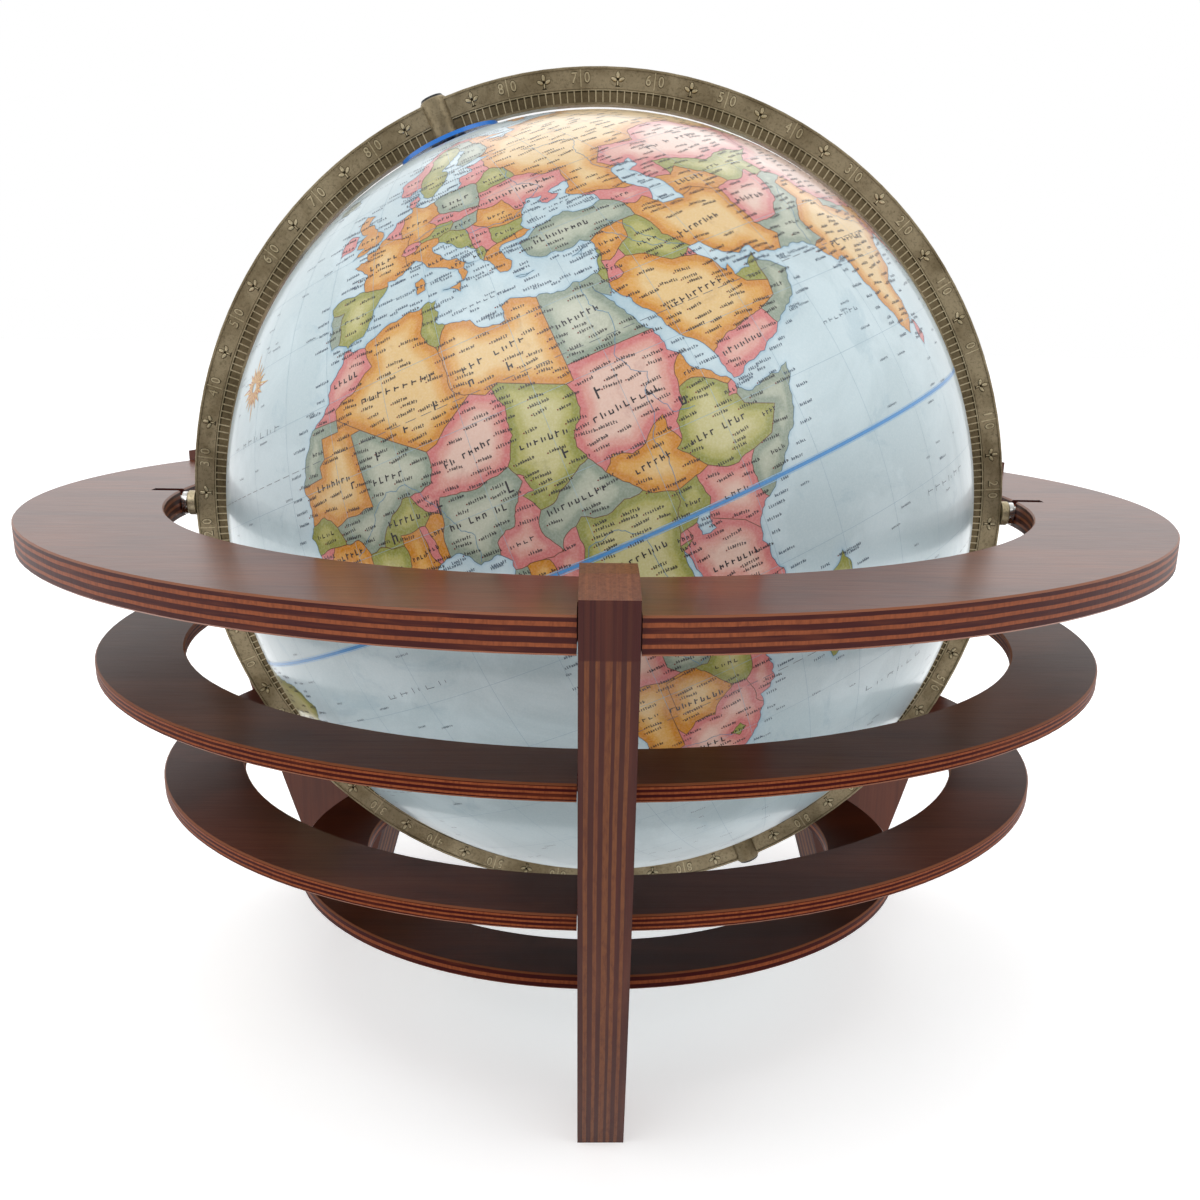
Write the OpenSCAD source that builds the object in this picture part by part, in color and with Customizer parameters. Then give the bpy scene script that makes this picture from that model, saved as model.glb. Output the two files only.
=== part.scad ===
// Desktop globe in a full meridian ring, hung in a slotted plywood stand.
// Millimetres. +Z up, table at z = 0, X across, front leg towards -Y.

/* [Globe] */
// Radius of the ball
ball_r = 152.4; // [151.4:0.1:152.8]
// Wall of each half shell
shell_t = 2.0; // [1.6:0.1:2.4]
// Tilt of the polar axis from vertical, in degrees
tilt = 23.5; // [20:0.5:27]
// How far the meridian ring is swung on its side pivots, in degrees
swing = -3.0; // [-6:0.5:6]
// Height of the globe's centre above the table
centre_z = 203.0; // [202.6:0.1:203.2]
// Radius of the hour dial
dial_r = 20.5; // [17:0.5:24]
// Thickness of the hour dial
dial_t = 1.4; // [1.0:0.1:1.5]

/* [Meridian ring] */
// Inner radius of the ring
mer_ri = 156.0; // [155.9:0.1:156.2]
// Outer radius of the ring
mer_ro = 169.7; // [169.0:0.1:169.9]
// Full thickness of the ring
mer_t = 5.4; // [4.8:0.1:6.0]
// Radius of the raised line between numbers and ticks
scale_r = 162.1; // [161:0.1:164]
// Radius of the barrel at each pole
barrel_r = 5.2; // [5.0:0.1:5.6]
// Radius of the pole pins and the swing pins
pin_r = 3.0; // [2.8:0.1:3.1]
// Radial running clearance round a pin
run_c = 0.06; // [0.04:0.01:0.09]

/* [Swing pivots] */
// Radius of the brass collar on each swing pin
collar_r = 5.0; // [4.6:0.1:5.4]
// Radius of the washer on each swing pin
washer_r = 4.6; // [4.2:0.1:4.8]
// How far each swing pin reaches into the horizon ring
pin_reach = 11.5; // [9:0.5:12]

/* [Rings] */
// Outer radius of the horizon ring
r1_o = 228.0; // [226:0.5:229]
// Inner radius of the horizon ring
r1_i = 175.5; // [175.3:0.1:176]
// Thickness of the horizon ring
r1_t = 11.0; // [10:0.5:12]
// Outer radius of the middle ring
r2_o = 205.6; // [203:0.2:208]
// Inner radius of the middle ring
r2_i = 172.5; // [171:0.5:174]
// Outer radius of the lower ring
r3_o = 184.8; // [183:0.2:187]
// Inner radius of the lower ring
r3_i = 153.0; // [151:0.5:155]
// Outer radius of the base ring
r4_o = 133.7; // [132:0.1:136]
// Inner radius of the base ring
r4_i = 103.7; // [102:0.1:106]
// Thickness of the three thin rings
thin_t = 5.8; // [5:0.1:6.4]
// Eased edge of every ring
ease = 0.6; // [0.3:0.1:0.9]

/* [Legs] */
// Thickness of each leg
leg_t = 16.5; // [15:0.5:18]
// Radius to the leg's outermost face
leg_ro = 229.5; // [229.2:0.1:230]
// Gap on each side of a leg in a ring's notch
notch_c = 0.35; // [0.3:0.05:0.5]
// Radius to the outside of the foot
foot_o = 159.5; // [157:0.5:162]
// Radius to the inside of the foot
foot_i = 131.0; // [129:0.5:134]

/* [Part shown] */
// Which piece to draw

/* [Hidden] */
$fn = 180;
eps = 0.01;

// ring levels: z of each top face
z1 = centre_z + 5.3;
z2 = centre_z - 49.7;
z3 = centre_z - 101.3;
z4 = centre_z - 150.1;

// where ring and leg halve each other, as radii
s1 = 211.5;
s2 = 196.0;
s3 = 173.0;
s4 = 124.0;
lap_c = 0.2;

// leg outline
leg_top = 216.0;
leg_nose = 212.7;
leg_shoulder = 196.4;
arc_in_r = 195.06;
arc_in_z = 211.3;
arc_out_r = 1000;
// circle of arc_out_r through the foot and the shoulder, bulging outwards
ch = [foot_o - leg_ro, -leg_shoulder];
ch_l = norm(ch);
mid = [(foot_o + leg_ro) / 2, leg_shoulder / 2];
out_n = [-ch[1] / ch_l, ch[0] / ch_l];
arc_out_c = mid - out_n * sqrt(arc_out_r * arc_out_r - ch_l * ch_l / 4);

wood_a = [0.42, 0.20, 0.12];
wood_b = [0.50, 0.26, 0.15];
brass_c = [0.55, 0.48, 0.30];
steel_c = [0.78, 0.78, 0.76];
black_c = [0.10, 0.10, 0.10];
ocean_c = [0.72, 0.85, 0.90];
blue_c = [0.12, 0.42, 0.78];

module at_centre() { translate([0, 0, centre_z]) children(); }
// frame of the meridian ring, swung about X
module swung() { at_centre() rotate([swing, 0, 0]) children(); }
// polar frame: local +Z towards the north pole
module polar() { swung() rotate([0, -tilt, 0]) children(); }

// flat ring with eased edges, top face at z
module ring_blank(ro, ri, t, z) {
    translate([0, 0, z - t])
        rotate_extrude()
            polygon([[ri + ease, 0], [ro - ease, 0], [ro, ease], [ro, t - ease],
                     [ro - ease, t], [ri + ease, t], [ri, t - ease], [ri, ease]]);
}

module notches(split, ro, t, z) {
    for (a = [-90, 30, 150]) rotate([0, 0, a])
        translate([split - lap_c, -leg_t / 2 - notch_c, z - t - 1])
            cube([ro - split + 8, leg_t + 2 * notch_c, t + 2]);
}

module horizon_ring() color(wood_a)
    difference() {
        ring_blank(r1_o, r1_i, r1_t, z1);
        notches(s1, r1_o, r1_t, z1);
        // open-topped pivot seats, half-round at the bottom
        for (s = [-1, 1]) {
            translate([s * (r1_i + 5.2), 0, centre_z]) rotate([0, 90, 0])
                cylinder(r = pin_r + run_c, h = 13.6, center = true);
            translate([s * (r1_i + 5.2) - 6.8, -pin_r - run_c, centre_z])
                cube([13.6, 2 * (pin_r + run_c), 10]);
        }
    }

module middle_ring() color(wood_a)
    difference() {
        ring_blank(r2_o, r2_i, thin_t, z2);
        notches(s2, r2_o, thin_t, z2);
    }

module lower_ring() color(wood_a)
    difference() {
        ring_blank(r3_o, r3_i, thin_t, z3);
        notches(s3, r3_o, thin_t, z3);
    }

module base_ring() color(wood_a)
    difference() {
        ring_blank(r4_o, r4_i, thin_t, z4);
        notches(s4, r4_o, thin_t, z4);
    }

// leg outline in the radial plane: x is the radius, y is the height
module leg_outline() {
    difference() {
        intersection() {
            polygon([[foot_i, 0], [leg_ro, 0], [leg_ro, leg_nose],
                     [210.5, leg_top], [90, leg_top], [90, 50], [114, 50]]);
            translate(arc_out_c) circle(r = arc_out_r, $fn = 720);
        }
        translate([0, arc_in_z]) circle(r = arc_in_r, $fn = 360);
    }
}

// bottom of the slot is the ring's seat; the gap is above and behind the ring
module leg_slots() {
    for (q = [[s1, z1, r1_t], [s2, z2, thin_t], [s3, z3, thin_t], [s4, z4, thin_t]])
        translate([80, -leg_t, q[1] - q[2]])
            cube([q[0] + lap_c - 80, 2 * leg_t, q[2] + 0.3]);
}

module leg(a) {
    rotate([0, 0, a])
        difference() {
            translate([0, leg_t / 2, 0]) rotate([90, 0, 0])
                linear_extrude(leg_t) leg_outline();
            leg_slots();
            // eased corners of the foot
            translate([foot_o - 1.2, -leg_t, -1.2]) rotate([0, 45, 0])
                translate([0, 0, -4]) cube([6, 2 * leg_t, 8]);
        }
}

module leg_front() color(wood_b) leg(-90);
module leg_rear_right() color(wood_b) leg(30);
module leg_rear_left() color(wood_b) leg(150);

barrel_in = mer_ri - 0.4;
barrel_out = mer_ro + 1.0;

// meridian: one casting, raised borders on both faces, a barrel at each pole
module meridian_band() {
    rotate([90, 0, 0]) rotate_extrude() {
        h = mer_t / 2;
        d = 0.5;
        polygon([[mer_ri, -h], [mer_ri + 0.8, -h], [mer_ri + 0.8, -h + d],
                 [scale_r - 0.4, -h + d], [scale_r - 0.4, -h], [scale_r + 0.4, -h], [scale_r + 0.4, -h + d],
                 [mer_ro - 0.9, -h + d], [mer_ro - 0.9, -h], [mer_ro - 0.3, -h], [mer_ro, -h + 0.3],
                 [mer_ro, h - 0.3], [mer_ro - 0.3, h], [mer_ro - 0.9, h], [mer_ro - 0.9, h - d],
                 [scale_r + 0.4, h - d], [scale_r + 0.4, h], [scale_r - 0.4, h], [scale_r - 0.4, h - d],
                 [mer_ri + 0.8, h - d], [mer_ri + 0.8, h], [mer_ri, h]]);
    }
}

module barrel() {
    translate([0, 0, barrel_in + 0.5]) cylinder(r = barrel_r, h = barrel_out - barrel_in - 1.0);
    translate([0, 0, barrel_in]) cylinder(r1 = barrel_r - 0.5, r2 = barrel_r, h = 0.5);
    translate([0, 0, barrel_out - 0.5]) cylinder(r1 = barrel_r, r2 = barrel_r - 0.5, h = 0.5);
}

module meridian_ring() color(brass_c)
    difference() {
        union() {
            swung() meridian_band();
            polar() barrel();
            polar() rotate([180, 0, 0]) barrel();
        }
        // pin bore from inside and plug bore from outside, at each pole
        polar() for (m = [0, 180]) rotate([m, 0, 0]) {
            translate([0, 0, barrel_in - 1]) cylinder(r = pin_r, h = 9);
            translate([0, 0, barrel_out - 4]) cylinder(r = 3.4, h = 6);
        }
        // seats for the swing pins
        for (s = [-1, 1])
            swung() translate([s * mer_ro, 0, 0]) rotate([0, 90, 0])
                cylinder(r = 2.0, h = 18, center = true);
    }

module plug(s) {
    polar() rotate([s < 0 ? 180 : 0, 0, 0]) {
        translate([0, 0, barrel_out - 3.6]) cylinder(r = 3.3, h = 3.6 + eps);
        translate([0, 0, barrel_out]) cylinder(r1 = barrel_r - 0.5, r2 = barrel_r - 0.9, h = 0.8);
    }
}
module north_plug() color(black_c) plug(1);
module south_plug() color(black_c) plug(-1);

module north_pin() color(steel_c)
    polar() translate([0, 0, 146]) {
        cylinder(r = pin_r, h = barrel_in + 7.6 - 146);
        translate([0, 0, -0.8]) cylinder(r1 = pin_r - 0.8, r2 = pin_r, h = 0.8);
    }

// the south pin carries the ball on a shoulder
module south_pin() color(steel_c)
    polar() rotate([180, 0, 0]) {
        translate([0, 0, 146]) cylinder(r = pin_r, h = barrel_in + 7.6 - 146);
        translate([0, 0, 145.2]) cylinder(r1 = pin_r - 0.8, r2 = pin_r, h = 0.8);
        translate([0, 0, 153.4]) cylinder(r = 4.4, h = barrel_in - 153.4);
    }

// swing pins, turned end in the meridian, plain end in the horizon ring
module pivot_pin(s) {
    at_centre() rotate([0, s * 90, 0]) {
        translate([0, 0, mer_ro - 8]) cylinder(r = 2.0, h = 8 + eps);
        translate([0, 0, mer_ro]) cylinder(r = pin_r, h = r1_i - mer_ro + pin_reach - 0.5);
        translate([0, 0, r1_i + pin_reach - 0.5]) cylinder(r1 = pin_r, r2 = pin_r - 0.5, h = 0.5);
    }
}
module pivot_pin_left() color(steel_c) pivot_pin(-1);
module pivot_pin_right() color(steel_c) pivot_pin(1);

module pivot_collar(s) {
    at_centre() rotate([0, s * 90, 0])
        difference() {
            union() {
                translate([0, 0, mer_ro]) cylinder(r = collar_r, h = 2.8);
                translate([0, 0, mer_ro + 2.8]) cylinder(r1 = collar_r, r2 = collar_r - 0.4, h = 0.4);
            }
            translate([0, 0, mer_ro - 1]) cylinder(r = pin_r, h = 6);
        }
}
module pivot_collar_left() color(brass_c) pivot_collar(-1);
module pivot_collar_right() color(brass_c) pivot_collar(1);

module pivot_washer(s) {
    at_centre() rotate([0, s * 90, 0])
        difference() {
            translate([0, 0, mer_ro + 3.3]) cylinder(r = washer_r, h = 1.9);
            translate([0, 0, mer_ro + 2]) cylinder(r = pin_r + 0.2, h = 6);
        }
}
module pivot_washer_left() color(steel_c) pivot_washer(-1);
module pivot_washer_right() color(steel_c) pivot_washer(1);

// ball: two half shells on an inner band, each with a bush at its pole
bush_r = 6.0;

module hemisphere(s) {
    polar() difference() {
        sphere(r = ball_r, $fn = 160);
        sphere(r = ball_r - shell_t, $fn = 160);
        translate([-200, -200, s > 0 ? -400 : 0]) cube([400, 400, 400]);
        translate([0, 0, s > 0 ? 100 : -200]) cylinder(r = bush_r, h = 100);
    }
}
module northern_hemisphere() color(ocean_c) hemisphere(1);
module southern_hemisphere() color(ocean_c) hemisphere(-1);

module equator_band() color([0.85, 0.84, 0.80])
    polar() difference() {
        cylinder(r = ball_r - shell_t - 0.4, h = 16, center = true);
        cylinder(r = ball_r - shell_t - 1.9, h = 20, center = true);
    }

module bush(s) {
    polar() rotate([s < 0 ? 180 : 0, 0, 0])
        difference() {
            union() {
                translate([0, 0, 146.5]) cylinder(r = bush_r - 0.05, h = ball_r + 0.2 - 146.5);
                translate([0, 0, 147.2]) cylinder(r = 9.0, h = ball_r - shell_t - 0.4 - 147.2);
                translate([0, 0, ball_r + 0.1]) cylinder(r1 = 7.4, r2 = 6.8, h = 0.5);
            }
            translate([0, 0, 140]) cylinder(r = pin_r + run_c, h = 20);
        }
}
module north_bush() color([0.90, 0.90, 0.88]) bush(1);
module south_bush() color([0.90, 0.90, 0.88]) bush(-1);

// thin cap that follows the ball, with a flat hub on the pole pin
dial_in = ball_r + 1.3;
module hour_dial() color(blue_c)
    polar() difference() {
        union() {
            intersection() {
                difference() {
                    sphere(r = dial_in + dial_t, $fn = 160);
                    sphere(r = dial_in, $fn = 160);
                }
                translate([0, 0, 100]) cylinder(r = dial_r, h = 100);
            }
            translate([0, 0, dial_in + 0.1]) cylinder(r = 6.2, h = barrel_in - 0.4 - dial_in - 0.1);
        }
        translate([0, 0, 140]) cylinder(r = pin_r + run_c, h = 30);
    }

horizon_ring();
middle_ring();
lower_ring();
base_ring();
leg_front();
leg_rear_right();
leg_rear_left();
meridian_ring();
north_plug();
south_plug();
north_pin();
south_pin();
pivot_pin_left();
pivot_pin_right();
pivot_collar_left();
pivot_collar_right();
pivot_washer_left();
pivot_washer_right();
northern_hemisphere();
southern_hemisphere();
equator_band();
north_bush();
south_bush();
hour_dial();
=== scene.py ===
import math
import random

import bmesh
import bpy
import numpy as np
from mathutils import Matrix, Vector
from mathutils.geometry import delaunay_2d_cdt


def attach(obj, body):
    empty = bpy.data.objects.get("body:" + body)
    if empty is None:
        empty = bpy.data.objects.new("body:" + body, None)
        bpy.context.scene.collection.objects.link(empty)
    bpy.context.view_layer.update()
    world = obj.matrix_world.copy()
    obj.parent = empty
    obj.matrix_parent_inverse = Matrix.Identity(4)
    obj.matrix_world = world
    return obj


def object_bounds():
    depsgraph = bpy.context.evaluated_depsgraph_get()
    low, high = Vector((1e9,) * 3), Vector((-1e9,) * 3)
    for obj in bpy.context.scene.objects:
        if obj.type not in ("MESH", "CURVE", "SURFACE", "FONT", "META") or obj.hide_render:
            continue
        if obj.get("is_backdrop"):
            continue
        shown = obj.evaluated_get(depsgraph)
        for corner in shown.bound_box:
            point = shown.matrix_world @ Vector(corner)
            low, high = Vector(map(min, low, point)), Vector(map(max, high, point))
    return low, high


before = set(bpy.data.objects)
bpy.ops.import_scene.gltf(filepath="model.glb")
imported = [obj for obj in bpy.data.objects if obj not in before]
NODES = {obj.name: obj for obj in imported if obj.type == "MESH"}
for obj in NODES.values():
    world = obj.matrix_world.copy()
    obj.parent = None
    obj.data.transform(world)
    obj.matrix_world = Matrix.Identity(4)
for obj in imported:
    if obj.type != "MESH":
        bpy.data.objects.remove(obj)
size_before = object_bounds()
scene = bpy.context.scene
scene.view_settings.view_transform = "Standard"
scene.view_settings.look = "None"
coll = scene.collection

CENTRE = Vector((0.0, 0.0, 0.203))
TILT = math.radians(23.5)
SWING = math.radians(-3.0)
SPIN = math.radians(-110.6)
POLAR = Matrix.Rotation(SWING, 3, "X") @ Matrix.Rotation(-TILT, 3, "Y")
RING = Matrix.Rotation(SWING, 3, "X")


def lin(r, g, b):
    """sRGB 0-255 to a linear colour."""
    f = lambda c: c / 12.92 if c <= 0.04045 else ((c + 0.055) / 1.055) ** 2.4
    return (f(r / 255), f(g / 255), f(b / 255), 1.0)


# ---------------------------------------------------------------- node helpers
def material(name, rough=0.5, metal=0.0, spec=0.5, coat=0.0, coat_rough=0.1, colour=None):
    m = bpy.data.materials.new(name)
    m.use_nodes = True
    nt = m.node_tree
    b = nt.nodes["Principled BSDF"]
    b.inputs["Roughness"].default_value = rough
    b.inputs["Metallic"].default_value = metal
    b.inputs["Specular IOR Level"].default_value = spec
    b.inputs["Coat Weight"].default_value = coat
    b.inputs["Coat Roughness"].default_value = coat_rough
    if colour:
        b.inputs["Base Color"].default_value = colour
        m.diffuse_color = colour
    return m, nt, b


def put(nt, sock, v):
    if isinstance(v, bpy.types.NodeSocket):
        nt.links.new(v, sock)
    else:
        sock.default_value = v


def node(nt, kind, ins=None, **props):
    n = nt.nodes.new("ShaderNode" + kind)
    for k, v in props.items():
        setattr(n, k, v)
    for k, v in (ins or {}).items():
        put(nt, n.inputs[k], v)
    return n


def mth(nt, op, a, b=0.0, c=0.0, clamp=False):
    n = nt.nodes.new("ShaderNodeMath")
    n.operation = op
    n.use_clamp = clamp
    for i, v in enumerate((a, b, c)):
        put(nt, n.inputs[i], v)
    return n.outputs[0]


def smooth(nt, x, lo, hi, a=0.0, b=1.0):
    n = node(nt, "MapRange", {"Value": x, "From Min": lo, "From Max": hi, "To Min": a, "To Max": b}, interpolation_type="SMOOTHSTEP")
    return n.outputs["Result"]


def mix(nt, f, a, b, mode="MIX"):
    n = nt.nodes.new("ShaderNodeMix")
    n.data_type = "RGBA"
    n.blend_type = mode
    n.clamp_factor = True
    put(nt, n.inputs[0], f)
    put(nt, n.inputs[6], a)
    put(nt, n.inputs[7], b)
    return n.outputs[2]


def noise(nt, vec, scale, detail=3.0, rough=0.5, dist=0.0):
    return node(nt, "TexNoise", {"Vector": vec, "Scale": scale, "Detail": detail, "Roughness": rough, "Distortion": dist}).outputs["Fac"]


def stretched(nt, vec, sx, sy, sz, rot=(0, 0, 0)):
    return node(nt, "Mapping", {"Vector": vec, "Scale": (sx, sy, sz), "Rotation": rot}).outputs["Vector"]


def ramp(nt, x, stops, interp="LINEAR"):
    n = nt.nodes.new("ShaderNodeValToRGB")
    n.color_ramp.interpolation = interp
    el = n.color_ramp.elements
    while len(el) > 1:
        el.remove(el[-1])
    el[0].position, el[0].color = stops[0]
    for p, c in stops[1:]:
        e = el.new(p)
        e.color = c
    put(nt, n.inputs[0], x)
    return n.outputs["Color"]


def bump(nt, b, height, strength, dist):
    n = node(nt, "Bump", {"Height": height, "Strength": strength, "Distance": dist})
    nt.links.new(n.outputs["Normal"], b.inputs["Normal"])
    return n


def smoothed(o, deg=30):
    o.data.shade_smooth() if hasattr(o.data, "shade_smooth") else None
    return o


# ---------------------------------------------------------------- wood
DARK = lin(58, 9, 7)
DARK2 = lin(60, 20, 11)
LIGHT = lin(138, 72, 40)
LIGHT2 = lin(112, 54, 26)


def bands(edges, first_dark=True):
    """Colour stops for plies whose boundaries are shares of the thickness."""
    stops, dark = [(0.0, DARK if first_dark else LIGHT)], first_dark
    for e in edges:
        dark = not dark
        stops.append((e - 0.006, stops[-1][1]))
        stops.append((e + 0.006, (DARK if dark else LIGHT)))
    return stops


def ring_wood(name, z_top, thick, edges, top, top2, spec=0.2, coat=0.3):
    """Veneer on the flat faces with grain along X, plies on the curved edges."""
    m, nt, b = material(name, rough=0.36, spec=spec, coat=0.25, coat_rough=0.24, colour=top)
    obj = node(nt, "TexCoord").outputs["Object"]
    sep = node(nt, "SeparateXYZ", {0: obj})
    nrm = node(nt, "SeparateXYZ", {0: node(nt, "NewGeometry").outputs["Normal"]})
    nz = mth(nt, "ABSOLUTE", nrm.outputs["Z"])
    # veneer: long fibres, pores and slow cloudy stain
    fib = noise(nt, stretched(nt, obj, 14, 520, 60), 1.0, 4, 0.62, 0.3)
    cloud = noise(nt, stretched(nt, obj, 9, 22, 9), 1.0, 3, 0.55, 0.6)
    pore = noise(nt, stretched(nt, obj, 90, 2400, 90), 1.0, 2, 0.6)
    flat = mix(nt, smooth(nt, cloud, 0.32, 0.68), top, top2)
    flat = mix(nt, smooth(nt, fib, 0.35, 0.7, 0.0, 0.42), flat, DARK2)
    flat = mix(nt, smooth(nt, pore, 0.62, 0.78, 0.0, 0.5), flat, DARK)
    # plies, top to bottom
    wob = mth(nt, "MULTIPLY", mth(nt, "SUBTRACT", noise(nt, obj, 55, 3, 0.6), 0.5), 0.05)
    t = mth(nt, "DIVIDE", mth(nt, "SUBTRACT", z_top, sep.outputs["Z"]), thick)
    ply = ramp(nt, mth(nt, "ADD", t, wob), bands(edges))
    end = noise(nt, stretched(nt, obj, 900, 900, 220), 1.0, 3, 0.7)
    ply = mix(nt, smooth(nt, end, 0.35, 0.75, 0.0, 0.45), ply, DARK)
    long = noise(nt, stretched(nt, obj, 60, 60, 900), 1.0, 2, 0.5)
    ply = mix(nt, smooth(nt, long, 0.45, 0.8, 0.0, 0.35), ply, LIGHT2)
    edge = smooth(nt, nz, 0.45, 0.85)
    col = mix(nt, edge, ply, flat)
    # painted highlight: a pale tan on each eased edge stands in for the highlight along the arris
    nt.links.new(mth(nt, "MULTIPLY", edge, coat), b.inputs["Coat Weight"])
    arris_highlight = mth(nt, "MULTIPLY", smooth(nt, nz, 0.25, 0.6), smooth(nt, nz, 0.98, 0.8))
    col = mix(nt, mth(nt, "MULTIPLY", arris_highlight, 0.55), col, lin(158, 96, 62))
    nt.links.new(col, b.inputs["Base Color"])
    rg = mth(nt, "ADD", mth(nt, "MULTIPLY", pore, 0.16), smooth(nt, nz, 0.5, 0.9, 0.40, 0.25))
    nt.links.new(rg, b.inputs["Roughness"])
    hgt = mth(nt, "ADD", mth(nt, "MULTIPLY", fib, 0.5), mth(nt, "MULTIPLY", pore, 0.5))
    hgt = mth(nt, "ADD", hgt, mth(nt, "MULTIPLY", end, 0.4))
    bump(nt, b, hgt, 0.22, 0.0002)
    return m


def leg_wood(name, angle):
    """Side veneer on the flat faces, laminations on the edge faces, a painted reflection on faces that turn upward and
    painted shade on the upright facet at the top.
    """
    m, nt, b = material(name, rough=0.42, spec=0.2, coat=0.08, coat_rough=0.3, colour=lin(96, 44, 30))
    obj = node(nt, "TexCoord").outputs["Object"]
    ca, sa = math.cos(angle), math.sin(angle)
    tang = (-sa, ca, 0.0)
    rad = (ca, sa, 0.0)
    dot = lambda v, d: node(nt, "VectorMath", {0: v, 1: d}, operation="DOT_PRODUCT").outputs["Value"]
    u = dot(obj, tang)
    r = dot(obj, rad)
    z = node(nt, "SeparateXYZ", {0: obj}).outputs["Z"]
    loc = node(nt, "CombineXYZ", {0: r, 1: u, 2: z}).outputs[0]
    gn = node(nt, "NewGeometry").outputs["Normal"]
    side = mth(nt, "ABSOLUTE", dot(gn, tang))
    wob = mth(nt, "MULTIPLY", mth(nt, "SUBTRACT", noise(nt, stretched(nt, loc, 30, 30, 9), 1.0, 3, 0.6), 0.5), 0.05)
    t = mth(nt, "ADD", mth(nt, "DIVIDE", u, 0.0165), 0.5)
    lam = bands([0.10, 0.18, 0.28, 0.35, 0.44, 0.55, 0.61, 0.69, 0.78, 0.85])
    lam = [(p, lin(60, 20, 10) if c == DARK else lin(108, 60, 28)) for p, c in lam]
    ply = ramp(nt, mth(nt, "ADD", t, wob), lam)
    rise = node(nt, "SeparateXYZ", {0: gn}).outputs["Z"]
    # painted reflection: faces that turn upward are mixed towards a pale tan, standing in for the overhead light on the
    # leg's top facet
    up = smooth(nt, rise, 0.15, 0.5, 0.0, 0.6)
    ply = mix(nt, up, ply, lin(140, 84, 50))
    # painted shade: the upright facet at the top of the leg, picked out by its normal, is painted nearly solid dark
    # maroon
    upright = mth(nt, "MULTIPLY", smooth(nt, mth(nt, "ABSOLUTE", rise), 0.30, 0.10), smooth(nt, z, 0.1955, 0.1970, 0.0, 0.85))
    ply = mix(nt, upright, ply, lin(54, 9, 6))
    fine = noise(nt, stretched(nt, loc, 20, 1500, 6), 1.0, 3, 0.6)
    ply = mix(nt, smooth(nt, fine, 0.45, 0.7, 0.0, 0.45), ply, lin(78, 26, 17))
    grain = noise(nt, stretched(nt, loc, 700, 900, 26), 1.0, 4, 0.65, 0.2)
    ply = mix(nt, smooth(nt, grain, 0.38, 0.72, 0.0, 0.5), ply, DARK)
    soft = noise(nt, stretched(nt, loc, 60, 200, 12), 1.0, 2, 0.5)
    ply = mix(nt, smooth(nt, soft, 0.45, 0.8, 0.0, 0.35), ply, lin(100, 52, 32))
    fib = noise(nt, stretched(nt, loc, 420, 420, 10), 1.0, 4, 0.62, 0.4)
    cloud = noise(nt, stretched(nt, loc, 30, 30, 8), 1.0, 3, 0.5, 0.5)
    flat = mix(nt, smooth(nt, cloud, 0.32, 0.68), lin(94, 44, 26), lin(72, 32, 18))
    flat = mix(nt, smooth(nt, fib, 0.38, 0.72, 0.0, 0.45), flat, DARK2)
    col = mix(nt, smooth(nt, side, 0.45, 0.8), ply, flat)
    nt.links.new(col, b.inputs["Base Color"])
    nt.links.new(mth(nt, "ADD", mth(nt, "MULTIPLY", grain, 0.2), 0.27), b.inputs["Roughness"])
    bump(nt, b, mth(nt, "ADD", grain, mth(nt, "MULTIPLY", fib, 0.6)), 0.25, 0.0002)
    return m


TOP1, TOP1B = lin(118, 61, 31), lin(92, 43, 21)
z_ring = [0.2083, 0.1533, 0.1017, 0.0529]
thin = [0.15, 0.27, 0.42, 0.54, 0.70, 0.82]
woods = {
    "horizon_ring": ring_wood("ply_horizon", z_ring[0], 0.011, [0.167, 0.281, 0.435, 0.54, 0.699, 0.80], TOP1, TOP1B),
    "middle_ring": ring_wood("ply_middle", z_ring[1], 0.0058, thin, lin(100, 58, 36), lin(72, 40, 24), 0.06, 0.04),
    "lower_ring": ring_wood("ply_lower", z_ring[2], 0.0058, thin, lin(96, 50, 34), lin(68, 34, 22), 0.06, 0.04),
    "base_ring": ring_wood("ply_base", z_ring[3], 0.0058, [0.38, 0.62], lin(78, 34, 16), lin(52, 20, 8), 0.06, 0.04),
    "leg_front": leg_wood("ply_leg_front", math.radians(-90)),
    "leg_rear_right": leg_wood("ply_leg_rear_right", math.radians(30)),
    "leg_rear_left": leg_wood("ply_leg_rear_left", math.radians(150)),
}


def dress(name, m):
    o = NODES[name]
    o.data.materials.clear()
    o.data.materials.append(m)


for k, v in woods.items():
    dress(k, v)


# ---------------------------------------------------------------- metals and plastics
def brass(name, base, dark, scale=1.0):
    m, nt, b = material(name, rough=0.42, metal=0.85, spec=0.5, colour=base)
    obj = node(nt, "TexCoord").outputs["Object"]
    cloud = noise(nt, obj, 60 * scale, 4, 0.6, 0.4)
    fine = noise(nt, obj, 900, 3, 0.7)
    pit = noise(nt, obj, 2600, 2, 0.5)
    col = mix(nt, smooth(nt, cloud, 0.35, 0.7), base, dark)
    col = mix(nt, smooth(nt, fine, 0.45, 0.75, 0.0, 0.45), col, lin(62, 52, 34))
    nt.links.new(col, b.inputs["Base Color"])
    nt.links.new(mth(nt, "ADD", mth(nt, "MULTIPLY", fine, 0.28), 0.30), b.inputs["Roughness"])
    bump(nt, b, mth(nt, "ADD", mth(nt, "MULTIPLY", fine, 0.6), pit), 0.30, 0.00025)
    return m


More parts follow.
